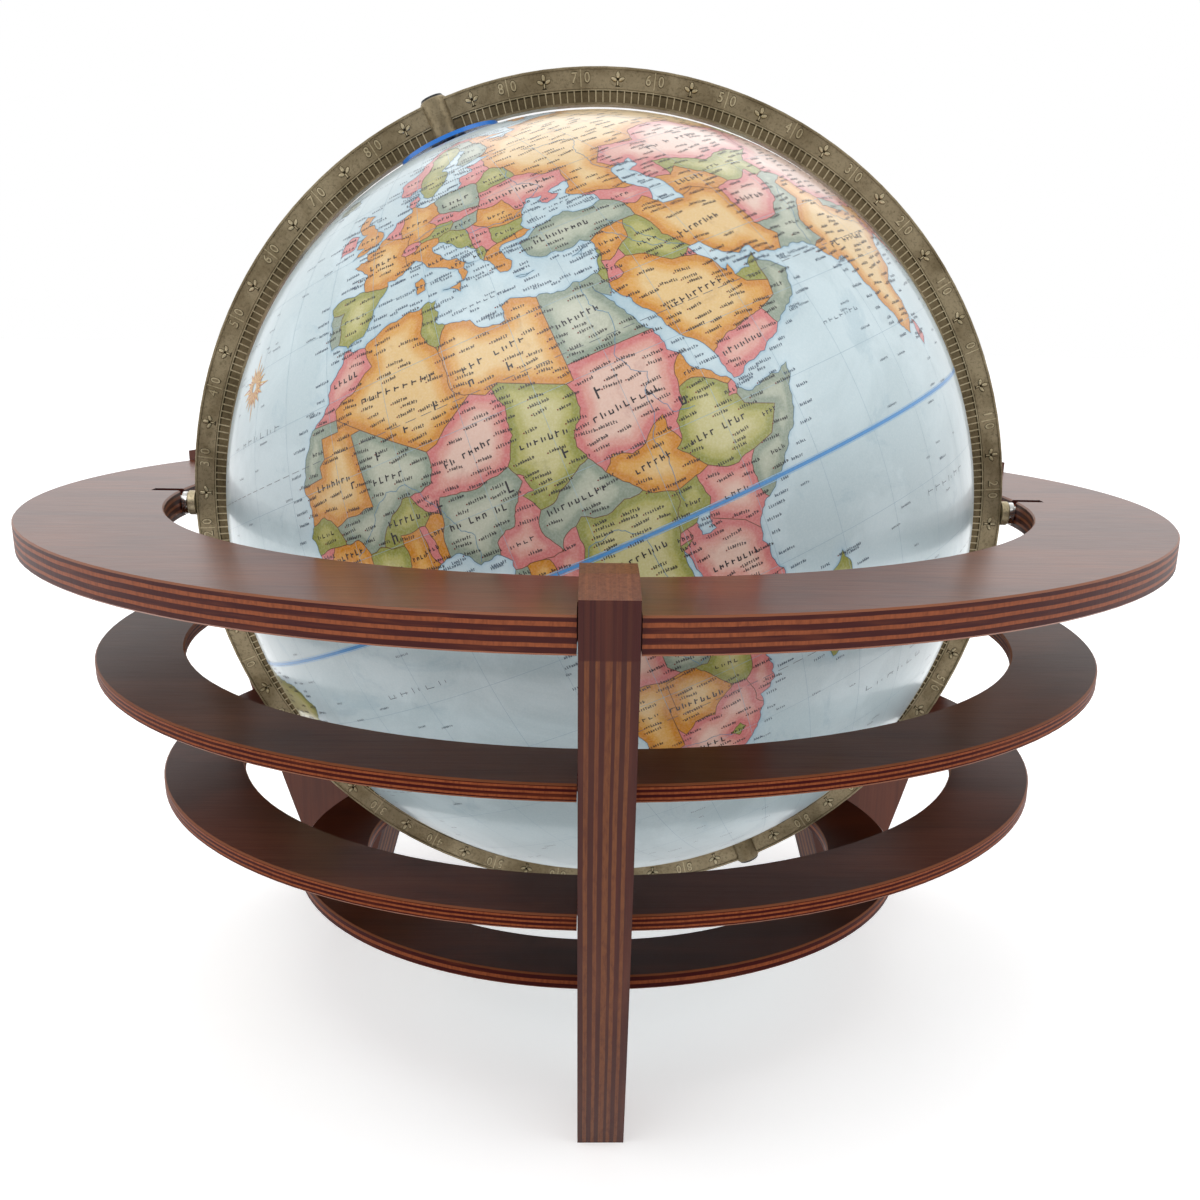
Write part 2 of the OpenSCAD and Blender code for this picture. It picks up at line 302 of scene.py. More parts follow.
def steel(name, base, rough=0.24):
    m, nt, b = material(name, rough=rough, metal=1.0, colour=base)
    obj = node(nt, "TexCoord").outputs["Object"]
    turn = noise(nt, stretched(nt, obj, 5200, 300, 300), 1.0, 2, 0.6)
    nt.links.new(mix(nt, smooth(nt, turn, 0.35, 0.7, 0.0, 0.4), base, lin(120, 118, 112)), b.inputs["Base Color"])
    nt.links.new(mth(nt, "ADD", mth(nt, "MULTIPLY", turn, 0.2), rough - 0.08), b.inputs["Roughness"])
    bump(nt, b, turn, 0.15, 0.0001)
    return m


def plastic(name, base, rough, grain=700.0, depth=0.12, coat=0.0):
    m, nt, b = material(name, rough=rough, spec=0.5, coat=coat, colour=base)
    obj = node(nt, "TexCoord").outputs["Object"]
    g = noise(nt, obj, grain, 3, 0.6)
    c = noise(nt, obj, 45, 2, 0.5)
    dk = tuple(v * 0.82 for v in base[:3]) + (1.0,)
    nt.links.new(mix(nt, smooth(nt, c, 0.35, 0.7), base, dk), b.inputs["Base Color"])
    nt.links.new(mth(nt, "ADD", mth(nt, "MULTIPLY", g, 0.15), rough - 0.07), b.inputs["Roughness"])
    bump(nt, b, g, depth, 0.0001)
    return m


BRASS = brass("antique_brass", lin(158, 144, 116), lin(122, 108, 82))
# lighter copy of the brass for the raised ticks, numerals, trefoils and pivot collars: partly worn metal, partly a
# painted highlight on the raised relief
BRASS_HI = brass("antique_brass_worn_and_highlit", lin(200, 186, 154), lin(168, 154, 122))
BRASS_LO = brass("antique_brass_recess", lin(120, 106, 80), lin(92, 80, 58))
BRASS_SH = brass("antique_brass_shadow", lin(72, 62, 42), lin(52, 44, 28))
STEEL = steel("pin_steel", lin(208, 206, 200))
WASHER = steel("washer_steel", lin(224, 223, 220), 0.16)
BLACK = plastic("black_plug", lin(26, 25, 24), 0.45)
WHITE = plastic("white_bush", lin(226, 225, 220), 0.40)
BOARD = plastic("inner_board", lin(196, 184, 160), 0.80, 420.0, 0.3)
BLUE = plastic("dial_blue", lin(34, 126, 222), 0.30, 900.0, 0.06, 0.3)

dress("meridian_ring", BRASS)
for s in ("left", "right"):
    dress("pivot_pin_" + s, STEEL)
    dress("pivot_collar_" + s, BRASS_HI)
    dress("pivot_washer_" + s, WASHER)
for s in ("north", "south"):
    dress(s + "_plug", BLACK)
    dress(s + "_pin", STEEL)
    dress(s + "_bush", WHITE)
for s in ("northern_hemisphere", "southern_hemisphere", "equator_band"):
    dress(s, BOARD)
dress("hour_dial", BLUE)


# ---------------------------------------------------------------- studio
def mesh_object(name, verts, faces, mats, body=None, smooth_shade=True):
    me = bpy.data.meshes.new(name)
    me.from_pydata(verts, [], faces)
    for m in mats:
        me.materials.append(m)
    me.update()
    if smooth_shade:
        me.shade_smooth()
    o = bpy.data.objects.new(name, me)
    coll.objects.link(o)
    if body:
        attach(o, body)
    return o


def studio():
    m, nt, b = material("floor_paper", rough=0.9, spec=0.1, colour=(0.93, 0.93, 0.93, 1))
    obj = node(nt, "TexCoord").outputs["Object"]
    g = noise(nt, obj, 900, 2, 0.5)
    nt.links.new(mix(nt, g, (0.94, 0.94, 0.94, 1), (0.92, 0.92, 0.92, 1)), b.inputs["Base Color"])
    b.inputs["Emission Color"].default_value = (1.0, 1.0, 1.0, 1.0)
    b.inputs["Emission Strength"].default_value = 0.42
    floor = mesh_object("studio_floor", [(-8, -8, 0), (8, -8, 0), (8, 8, 0), (-8, 8, 0)], [(0, 1, 2, 3)], [m], smooth_shade=False)
    floor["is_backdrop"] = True
    w = bpy.data.worlds.new("studio")
    scene.world = w
    w.use_nodes = True
    wt = w.node_tree
    bg = wt.nodes["Background"]
    bg.inputs["Color"].default_value = (1.0, 1.0, 1.0, 1.0)
    # white backdrop behind and above, a dimmer room on the near side; the backdrop itself shows plain white
    d = wt.nodes.new("ShaderNodeSeparateXYZ")
    wt.links.new(wt.nodes.new("ShaderNodeTexCoord").outputs["Generated"], d.inputs[0])
    r = wt.nodes.new("ShaderNodeMapRange")
    r.interpolation_type = "SMOOTHSTEP"
    for k, v in (("From Min", -0.75), ("From Max", 0.35), ("To Min", 0.5), ("To Max", 1.0)):
        r.inputs[k].default_value = v
    wt.links.new(d.outputs["Y"], r.inputs["Value"])
    lp = wt.nodes.new("ShaderNodeLightPath")
    mx = wt.nodes.new("ShaderNodeMath")
    mx.operation = "MAXIMUM"
    wt.links.new(r.outputs["Result"], mx.inputs[0])
    wt.links.new(lp.outputs["Is Camera Ray"], mx.inputs[1])
    wt.links.new(mx.outputs[0], bg.inputs["Strength"])

    def area(name, loc, size, power, aim=(0, 0, 0.18)):
        l = bpy.data.lights.new(name, "AREA")
        l.shape = "RECTANGLE"
        l.size, l.size_y = size
        l.energy = power
        o = bpy.data.objects.new(name, l)
        coll.objects.link(o)
        o.location = loc
        o.rotation_euler = (Vector(aim) - Vector(loc)).to_track_quat("-Z", "Y").to_euler()
        return o

    area("key", (-1.0, -1.3, 2.2), (1.6, 1.6), 15.0)
    area("fill", (1.5, -1.2, 1.6), (1.4, 1.4), 6.5)
    area("back", (0.2, 1.8, 2.0), (2.4, 1.2), 8.0)

    cam = bpy.data.cameras.new("camera")
    cam.sensor_fit = "HORIZONTAL"
    cam.sensor_width = 36.0
    cam.lens = 40.088
    cam.shift_x, cam.shift_y = -0.02886, 0.12252
    cam.clip_start = 0.01
    o = bpy.data.objects.new("camera", cam)
    coll.objects.link(o)
    rt = Vector((0.99936613, -0.0308311, 0.01779852))
    up = Vector((-0.00713407, 0.31637706, 0.94860669))
    fw = Vector((0.03487763, 0.94813237, -0.31595657))
    r = Matrix((rt, up, -fw)).transposed()
    o.matrix_world = Matrix.Translation((-0.00543, -0.56899, 0.28597)) @ r.to_4x4()
    scene.camera = o


studio()

# ---------------------------------------------------------------- the map: outlines drawn as lon,lat
COASTS = """
-6,35.8 -5.3,35.9 -4.3,35.2 -3,35.3 -2.1,35.1 -1,35.7 .1,35.9 1.5,36.5 3,36.8 5,36.8 6.5,37.1 8.6,36.9 9.8,37.3 10.3,36.9 11,37 10.5,36.3 11,35.3 10.1,34.2 10.6,33.6 11.5,33.2 13.2,32.9 15.2,32.4 15.7,31.4 18,30.5 19.8,30.4 20.1,31.5 20,32.3 21.6,32.9 23.2,32.3 25,31.6 27,31.2 29,30.9 30.5,31.5 32.3,31.2 34.2,31.3
34.9,29.5 34.3,27.8 32.6,29.9 33.6,27.8 34.5,26 35.6,24 36.9,22 37.3,20.8 37.3,19 38.6,18 39.5,15.6 41.2,14.6 43.1,12.7 43.3,11.5 45,10.5 47.5,11.2 51.2,11.9 51,10.4 49.8,8 48,4.5 46,2.4 43.5,.3 41.6,-1.7 40.2,-2.7 39.2,-4.7 38.8,-6.2 39.5,-7.2 39.3,-8.6 40.4,-10.5 40.6,-14.5 39.8,-16.4 36.9,-17.9 34.8,-19.9 35.5,-22 35.4,-24 32.7,-25.6 32.9,-26.9 32,-28.9 30.5,-30.9 28,-32.9 25.7,-34 22,-34.1 20,-34.8 18.4,-34.1 18.2,-32 16.5,-28.6 15.2,-26.8 14.5,-22.8 13.3,-20.6 11.8,-17.3 11.8,-15.8 12.6,-13.3 13.8,-11 13.2,-8.8 12.3,-6.1 12.2,-5.8 11.9,-4.8 11.1,-3.9 9.6,-2.5 8.8,-.8 9.4,1 9.8,2.3 9.9,3.4 8.8,4.5 7.1,4.4 6,4.3 5,5.8 4.3,6.3 2.7,6.4 1.6,6.2 1.2,6.1 -.5,5.4 -2,4.8 -3.1,5.1 -5,5.1 -7.5,4.4 -9.5,5.6 -11.4,6.9 -13,8 -13.3,9 -14.8,10.9 -16.7,12.3 -16.8,13.5 -17.5,14.7 -16.5,16 -16.2,18 -16.3,19.5 -17,21 -16,23.7 -14.5,26.2 -13.2,27.7 -11,28.9 -9.8,30 -9.3,32.3 -6.8,34.1 -6,35.8
34.9,29.5 35.2,28 37.2,24.8 39.1,21.3 41,19 42.7,16.4 42.9,14.8 43.5,12.7 45,12.8 48,14 52.2,15.6 53.1,16.6 55.2,17.6 57.8,19 58.6,20.7 59.8,22.5 58.6,23.6 56.4,24.9 56.3,26.2 54.4,24.4 51.6,24.2 51.6,25.9 50.8,25 50.2,26.5 48.5,28.5 48,29.9 48.5,30 50.1,30.1 51,28.8 52.6,27.4 54.5,26.6 56.9,27.1 57.4,25.7 59.5,25.4 61.5,25.1 64.5,25.3 66.6,24.9 68.2,23.7 69,22.3 70.5,20.8 72.2,21.2 72.8,19 74,15 75.2,11.8 76.5,8.9 77.5,8.1 78.2,8.9 79.9,10.3 80.3,13.2 80.2,15.5 82.3,16.6 85.2,19.4 87,21.4 88.9,21.7 91.8,22.3 92.3,20.8 94.3,18.5 94.5,16 97.2,16.8 98.5,13 98.6,10 98.3,8 100.3,5.7 101.3,3 103.4,1.4 103.4,4 102.1,6.2 100.2,8.5 99.3,10.5 100.5,13.4 102.5,12 103.5,10.6 105,8.7 107,10.4 109.3,12 108.9,15.3 106.5,18 105.8,19 106.7,20.8 108,21.5 109.9,20.3 111.8,21.6 114.2,22.3 117,23.6 119.6,25.5 121.8,29 121.9,31.5 119.3,35 122.5,37 119,37.2 117.7,39 121.8,39 124.3,39.9 125,38 126.5,37 126.4,34.6 129,35.2 129.4,37 127.5,39.5 130.6,42.3 132,43.2 135.3,44 140.3,48.5 141,53 137,54 143,59.3 152,59 155,59.5 160,61.7 163,61.6 156,57 156.7,51 162,55 163.5,58.5 170,60 177,62.5 179.7,64.8 179.7,69 170,70 160,69.8 141,72.7 128,71.5 113,73.7 104,77.5 87,75 80.5,73 72.7,72.5 68,68.5 60,69 54,68.4 44,68.5 44,66 38,64.5 33,66.5 41,66.8 33,69.4 30.8,69.8 31,70.3 25.7,71 19,69.8 14,67 10,63.9 5,61.8 5.5,59 8,58.1 10.5,59.2 11.3,59 12.8,55.5 14.2,55.4 16.5,57 18.8,59.8 17.3,61 21.5,64 24.2,65.8 25.3,65 21.3,61 22.9,59.9 27.8,60.6 30,59.9 28,59.6 23.6,59.2 24.3,57.3 21,57 21,55.3 19.8,54.4 18.5,54.7 14.2,53.9 11,54 9.6,54.9 10.9,56.4 10.6,57.7 8.1,56.5 8.7,54.9 8.8,53.9 7,53.5 5,53.2 4.2,52 2.5,51.1 1.6,50.9 .2,49.6 -1.8,49.7 -1.6,48.7 -4.7,48.3 -1.2,45.8 -1.8,43.4 -4,43.4 -8,43.7 -9.2,43.1 -8.8,41.9 -9.4,38.7 -8.9,37 -7.4,37.2 -5.4,36.1 -2.2,36.8 -.3,38.7 0,39.8 2,41.3 3.1,42.4 3.1,43.1 6,43.1 7.5,43.8 8.9,44.4 10.5,43 12.2,41.8 14,41 15.7,40 16,38 17.1,39 16.6,39.8 17,40.5 18.5,40.1 16,41.8 14,42.5 12.5,44.2 12.3,45.3 13.6,45.6 14.5,45.3 16.5,43.4 19.4,41.9 20,39.6 21.2,38.3 21.7,36.9 22.8,36.6 24,37.8 23.2,39.4 23,40.4 24.3,40.8 26.2,40.7 28.9,41.3 28,41.9 27.7,42.6 28.6,43.8 29.7,45.3 31,46.6 33.6,46.1 32.6,45.4 33.7,44.4 36.4,45.3 35,46.2 36.8,46.7 39.3,47 37.4,44.8 39.5,43.6 41.4,42.8 41.5,41.5 38,41 35,42 31.4,41.3 29,40.9 26.2,40 26.3,38.7 27.4,37 29,36.4 30.5,36.6 32.5,36.1 34.6,36.7 35.9,36 35.9,34.6 35.1,33 34.2,31.3
48.5,41.8 50.2,40.3 49,38.4 50,37.3 53.9,36.9 54,37.4 53.8,39 52.7,41.8 50.5,44.6 53,45.3 53,47 49.2,46.3 47.5,45.6 47.4,43 48.5,41.8
49.3,-12 50.4,-15.5 49.4,-18 47.2,-24.9 45,-25.5 43.5,-23.5 44.4,-20 44,-17 46,-15.7 48,-13.6 49.3,-12
-5.7,50.1 1.4,51.2 1.7,52.7 0,53.6 -1.6,55.6 -3.3,56 -2,57.6 -5,58.6 -6.2,56.7 -4.9,54.8 -3,54 -4.5,53.2 -5.2,51.9 -3,51.4 -5.7,50.1
-10,52 -6.3,52.3 -5.6,54.6 -8,55.3 -10,54 -10,52
-22.5,64 -18.5,63.4 -13.6,65 -16,66.5 -24,65.6 -22.5,64
12.5,38 15.6,38.2 15.1,36.7 12.5,38
8.2,39 9.7,39.2 9.5,41.2 8.2,40.9 8.2,39
23.6,35.4 26.3,35.2 24.8,34.9 23.6,35.4
32.3,34.9 34.5,35.6 33.6,34.7 32.3,34.9
79.8,8 80.1,9.7 81.8,7.3 80.5,5.9 79.8,8
130,31.5 132,33.8 135.5,33.6 140,35.3 141.5,38.5 141.4,41.3 140,41 139,38 136.5,37 131,34.4 130,31.5
140,42 145.3,43.2 141.8,45.4 140,42
95.3,5.6 104,-2 105.8,-5.8 102.3,-4 98.7,1.5 95.3,5.6
109,1.5 111.5,2.8 117,7 119,5 117.8,1 116,-4 110.2,-3 109,1.5
105.5,-6.5 110,-6.5 114.4,-7.8 110,-8.2 106.5,-7.4 105.5,-6.5
119.5,-5.5 119,-2 120.5,1.2 125,1.5 121.5,-.8 122.8,-4.8 120.5,-2.8 119.5,-5.5
131,-.8 135,-3 141,-2.6 147.8,-6 150.8,-10.4 144,-7.8 141,-9.2 137.8,-8.3 138,-5.5 132.8,-4 131,-.8
120.2,16.5 121,18.5 122.3,18.3 121.5,14.5 124,13 120.6,14 120.2,16.5
122,7 125.4,9.8 126.4,7 125.4,5.6 122,7
120.1,23 121.5,25.2 120.9,22 120.1,23
114,-22 113.8,-26 115.7,-32 115,-34.3 118,-35 124,-33.5 129,-31.7 131.5,-31.4 135.5,-34.7 138,-34 140,-38 144,-38.4 147,-38.5 150,-37.3 153,-31 153.2,-26 149,-21 146,-19 145.3,-15.3 142.5,-10.8 141.5,-13.5 140.8,-17.5 136,-15.2 136.7,-12.2 131.5,-11.5 129.6,-14.9 126,-14 122.2,-18 117,-20.7 114,-22
145,-41 148.2,-41 147,-43.5 145,-41
173,-34.6 178.4,-37.7 175.3,-41.5 174,-39.3 174.8,-37 173,-34.6
172.7,-40.6 174.2,-41.8 170.5,-45.9 168,-46.6 166.7,-45.6 172.7,-40.6
-141,69.7 -156,71.3 -166,68.4 -162,66 -168,65.6 -165,61.5 -158,58.5 -164,54.7 -152,59 -146,61 -141,60.2 -135,58.6 -130,55.5 -127,51 -123,49 -124.6,48.3 -124.2,43 -122,37 -117.2,32.6 -114.5,28 -110,23 -113,31.3 -109.3,26 -105.5,21 -99,16.7 -92.3,14.5 -87.5,13 -85.7,10 -83,8.3 -80,7.3 -77.9,7.3 -77.3,4 -78.8,1.4 -81,-2 -80.3,-3.4 -81.2,-5.5 -76.5,-13.5 -70.4,-18.3 -70.5,-25 -73.5,-37 -74,-43 -75.5,-49 -73,-53 -66.5,-55 -69,-52 -65.8,-47.8 -65,-43 -62.2,-39 -57,-37 -58.4,-34 -53.5,-33.8 -48.6,-27.5 -45,-23.8 -41,-22 -39,-17 -37,-11 -34.9,-7 -37,-4.6 -44,-2.5 -50,0 -51.5,4.2 -54,6 -60,8.5 -62,10.7 -68,10.6 -71.4,12 -75,11 -76.9,8.5 -79.5,9.5 -83.2,12 -83.3,15 -88.3,15.8 -88.2,18.4 -87,21.4 -90.4,21 -91.5,18.5 -95,18.6 -97.6,22.5 -97.2,26 -94,29.6 -89.3,29.2 -84,30 -82.7,27.5 -81,25.2 -80.2,27.5 -81.2,31.5 -75.7,35.5 -74,40.5 -70,42 -67,44.8 -65.5,43.6 -60,46 -65,48 -70,47 -60,50.2 -56,52 -61,56 -64.5,60 -69,59 -73,62 -78,62.4 -77,57.5 -79.5,54.5 -79.5,51.3 -82.3,53 -85,55.3 -92.5,57 -94.5,59 -94,61 -87,64 -86,67 -95,68 -108,68 -115,68.5 -128,70 -135,69 -141,69.7
-84.8,21.9 -82,23.1 -77,21.7 -74.3,20.1 -77.5,20 -80,21.6 -84.8,21.9
-74.4,18.5 -72.8,19.8 -68.5,18.6 -71,17.9 -74.4,18.5
-73,78.5 -60,82 -32,83.5 -18,80 -20,74 -24,70 -37,65.8 -43,60 -51,64 -54,69 -58,75.5 -73,78.5
-80,73.5 -68,69 -62,66.5 -66,62.5 -73,64.5 -78,70 -80,73.5
-117,69.6 -101,69.6 -105,73 -118,72 -117,69.6
-88,77 -76,79 -64,82 -90,81 -88,77
-59.3,47.7 -53,47 -55.7,51.5 -59.3,47.7
52,71 57,70.8 68,76.8 60,76 52,71
12,78 17,76.7 27,80 14,79.7 12,78
-179.7,-78 -150,-76 -120,-74 -100,-73 -75,-73 -60,-64 -60,-75 -30,-78 -10,-71 20,-70 55,-66.5 90,-66.5 130,-66.5 160,-70 167,-77 179.7,-78
31.9,-.9 32.6,.2 34,.1 33.9,-2.4 32,-2.5 31.9,-.9
29.2,-3.4 29.8,-6 31,-8.6 30.4,-8.5 29.3,-6 29.2,-3.4
34,-9.7 34.8,-11.6 34.9,-14 34.3,-12.2 34,-9.7
"""
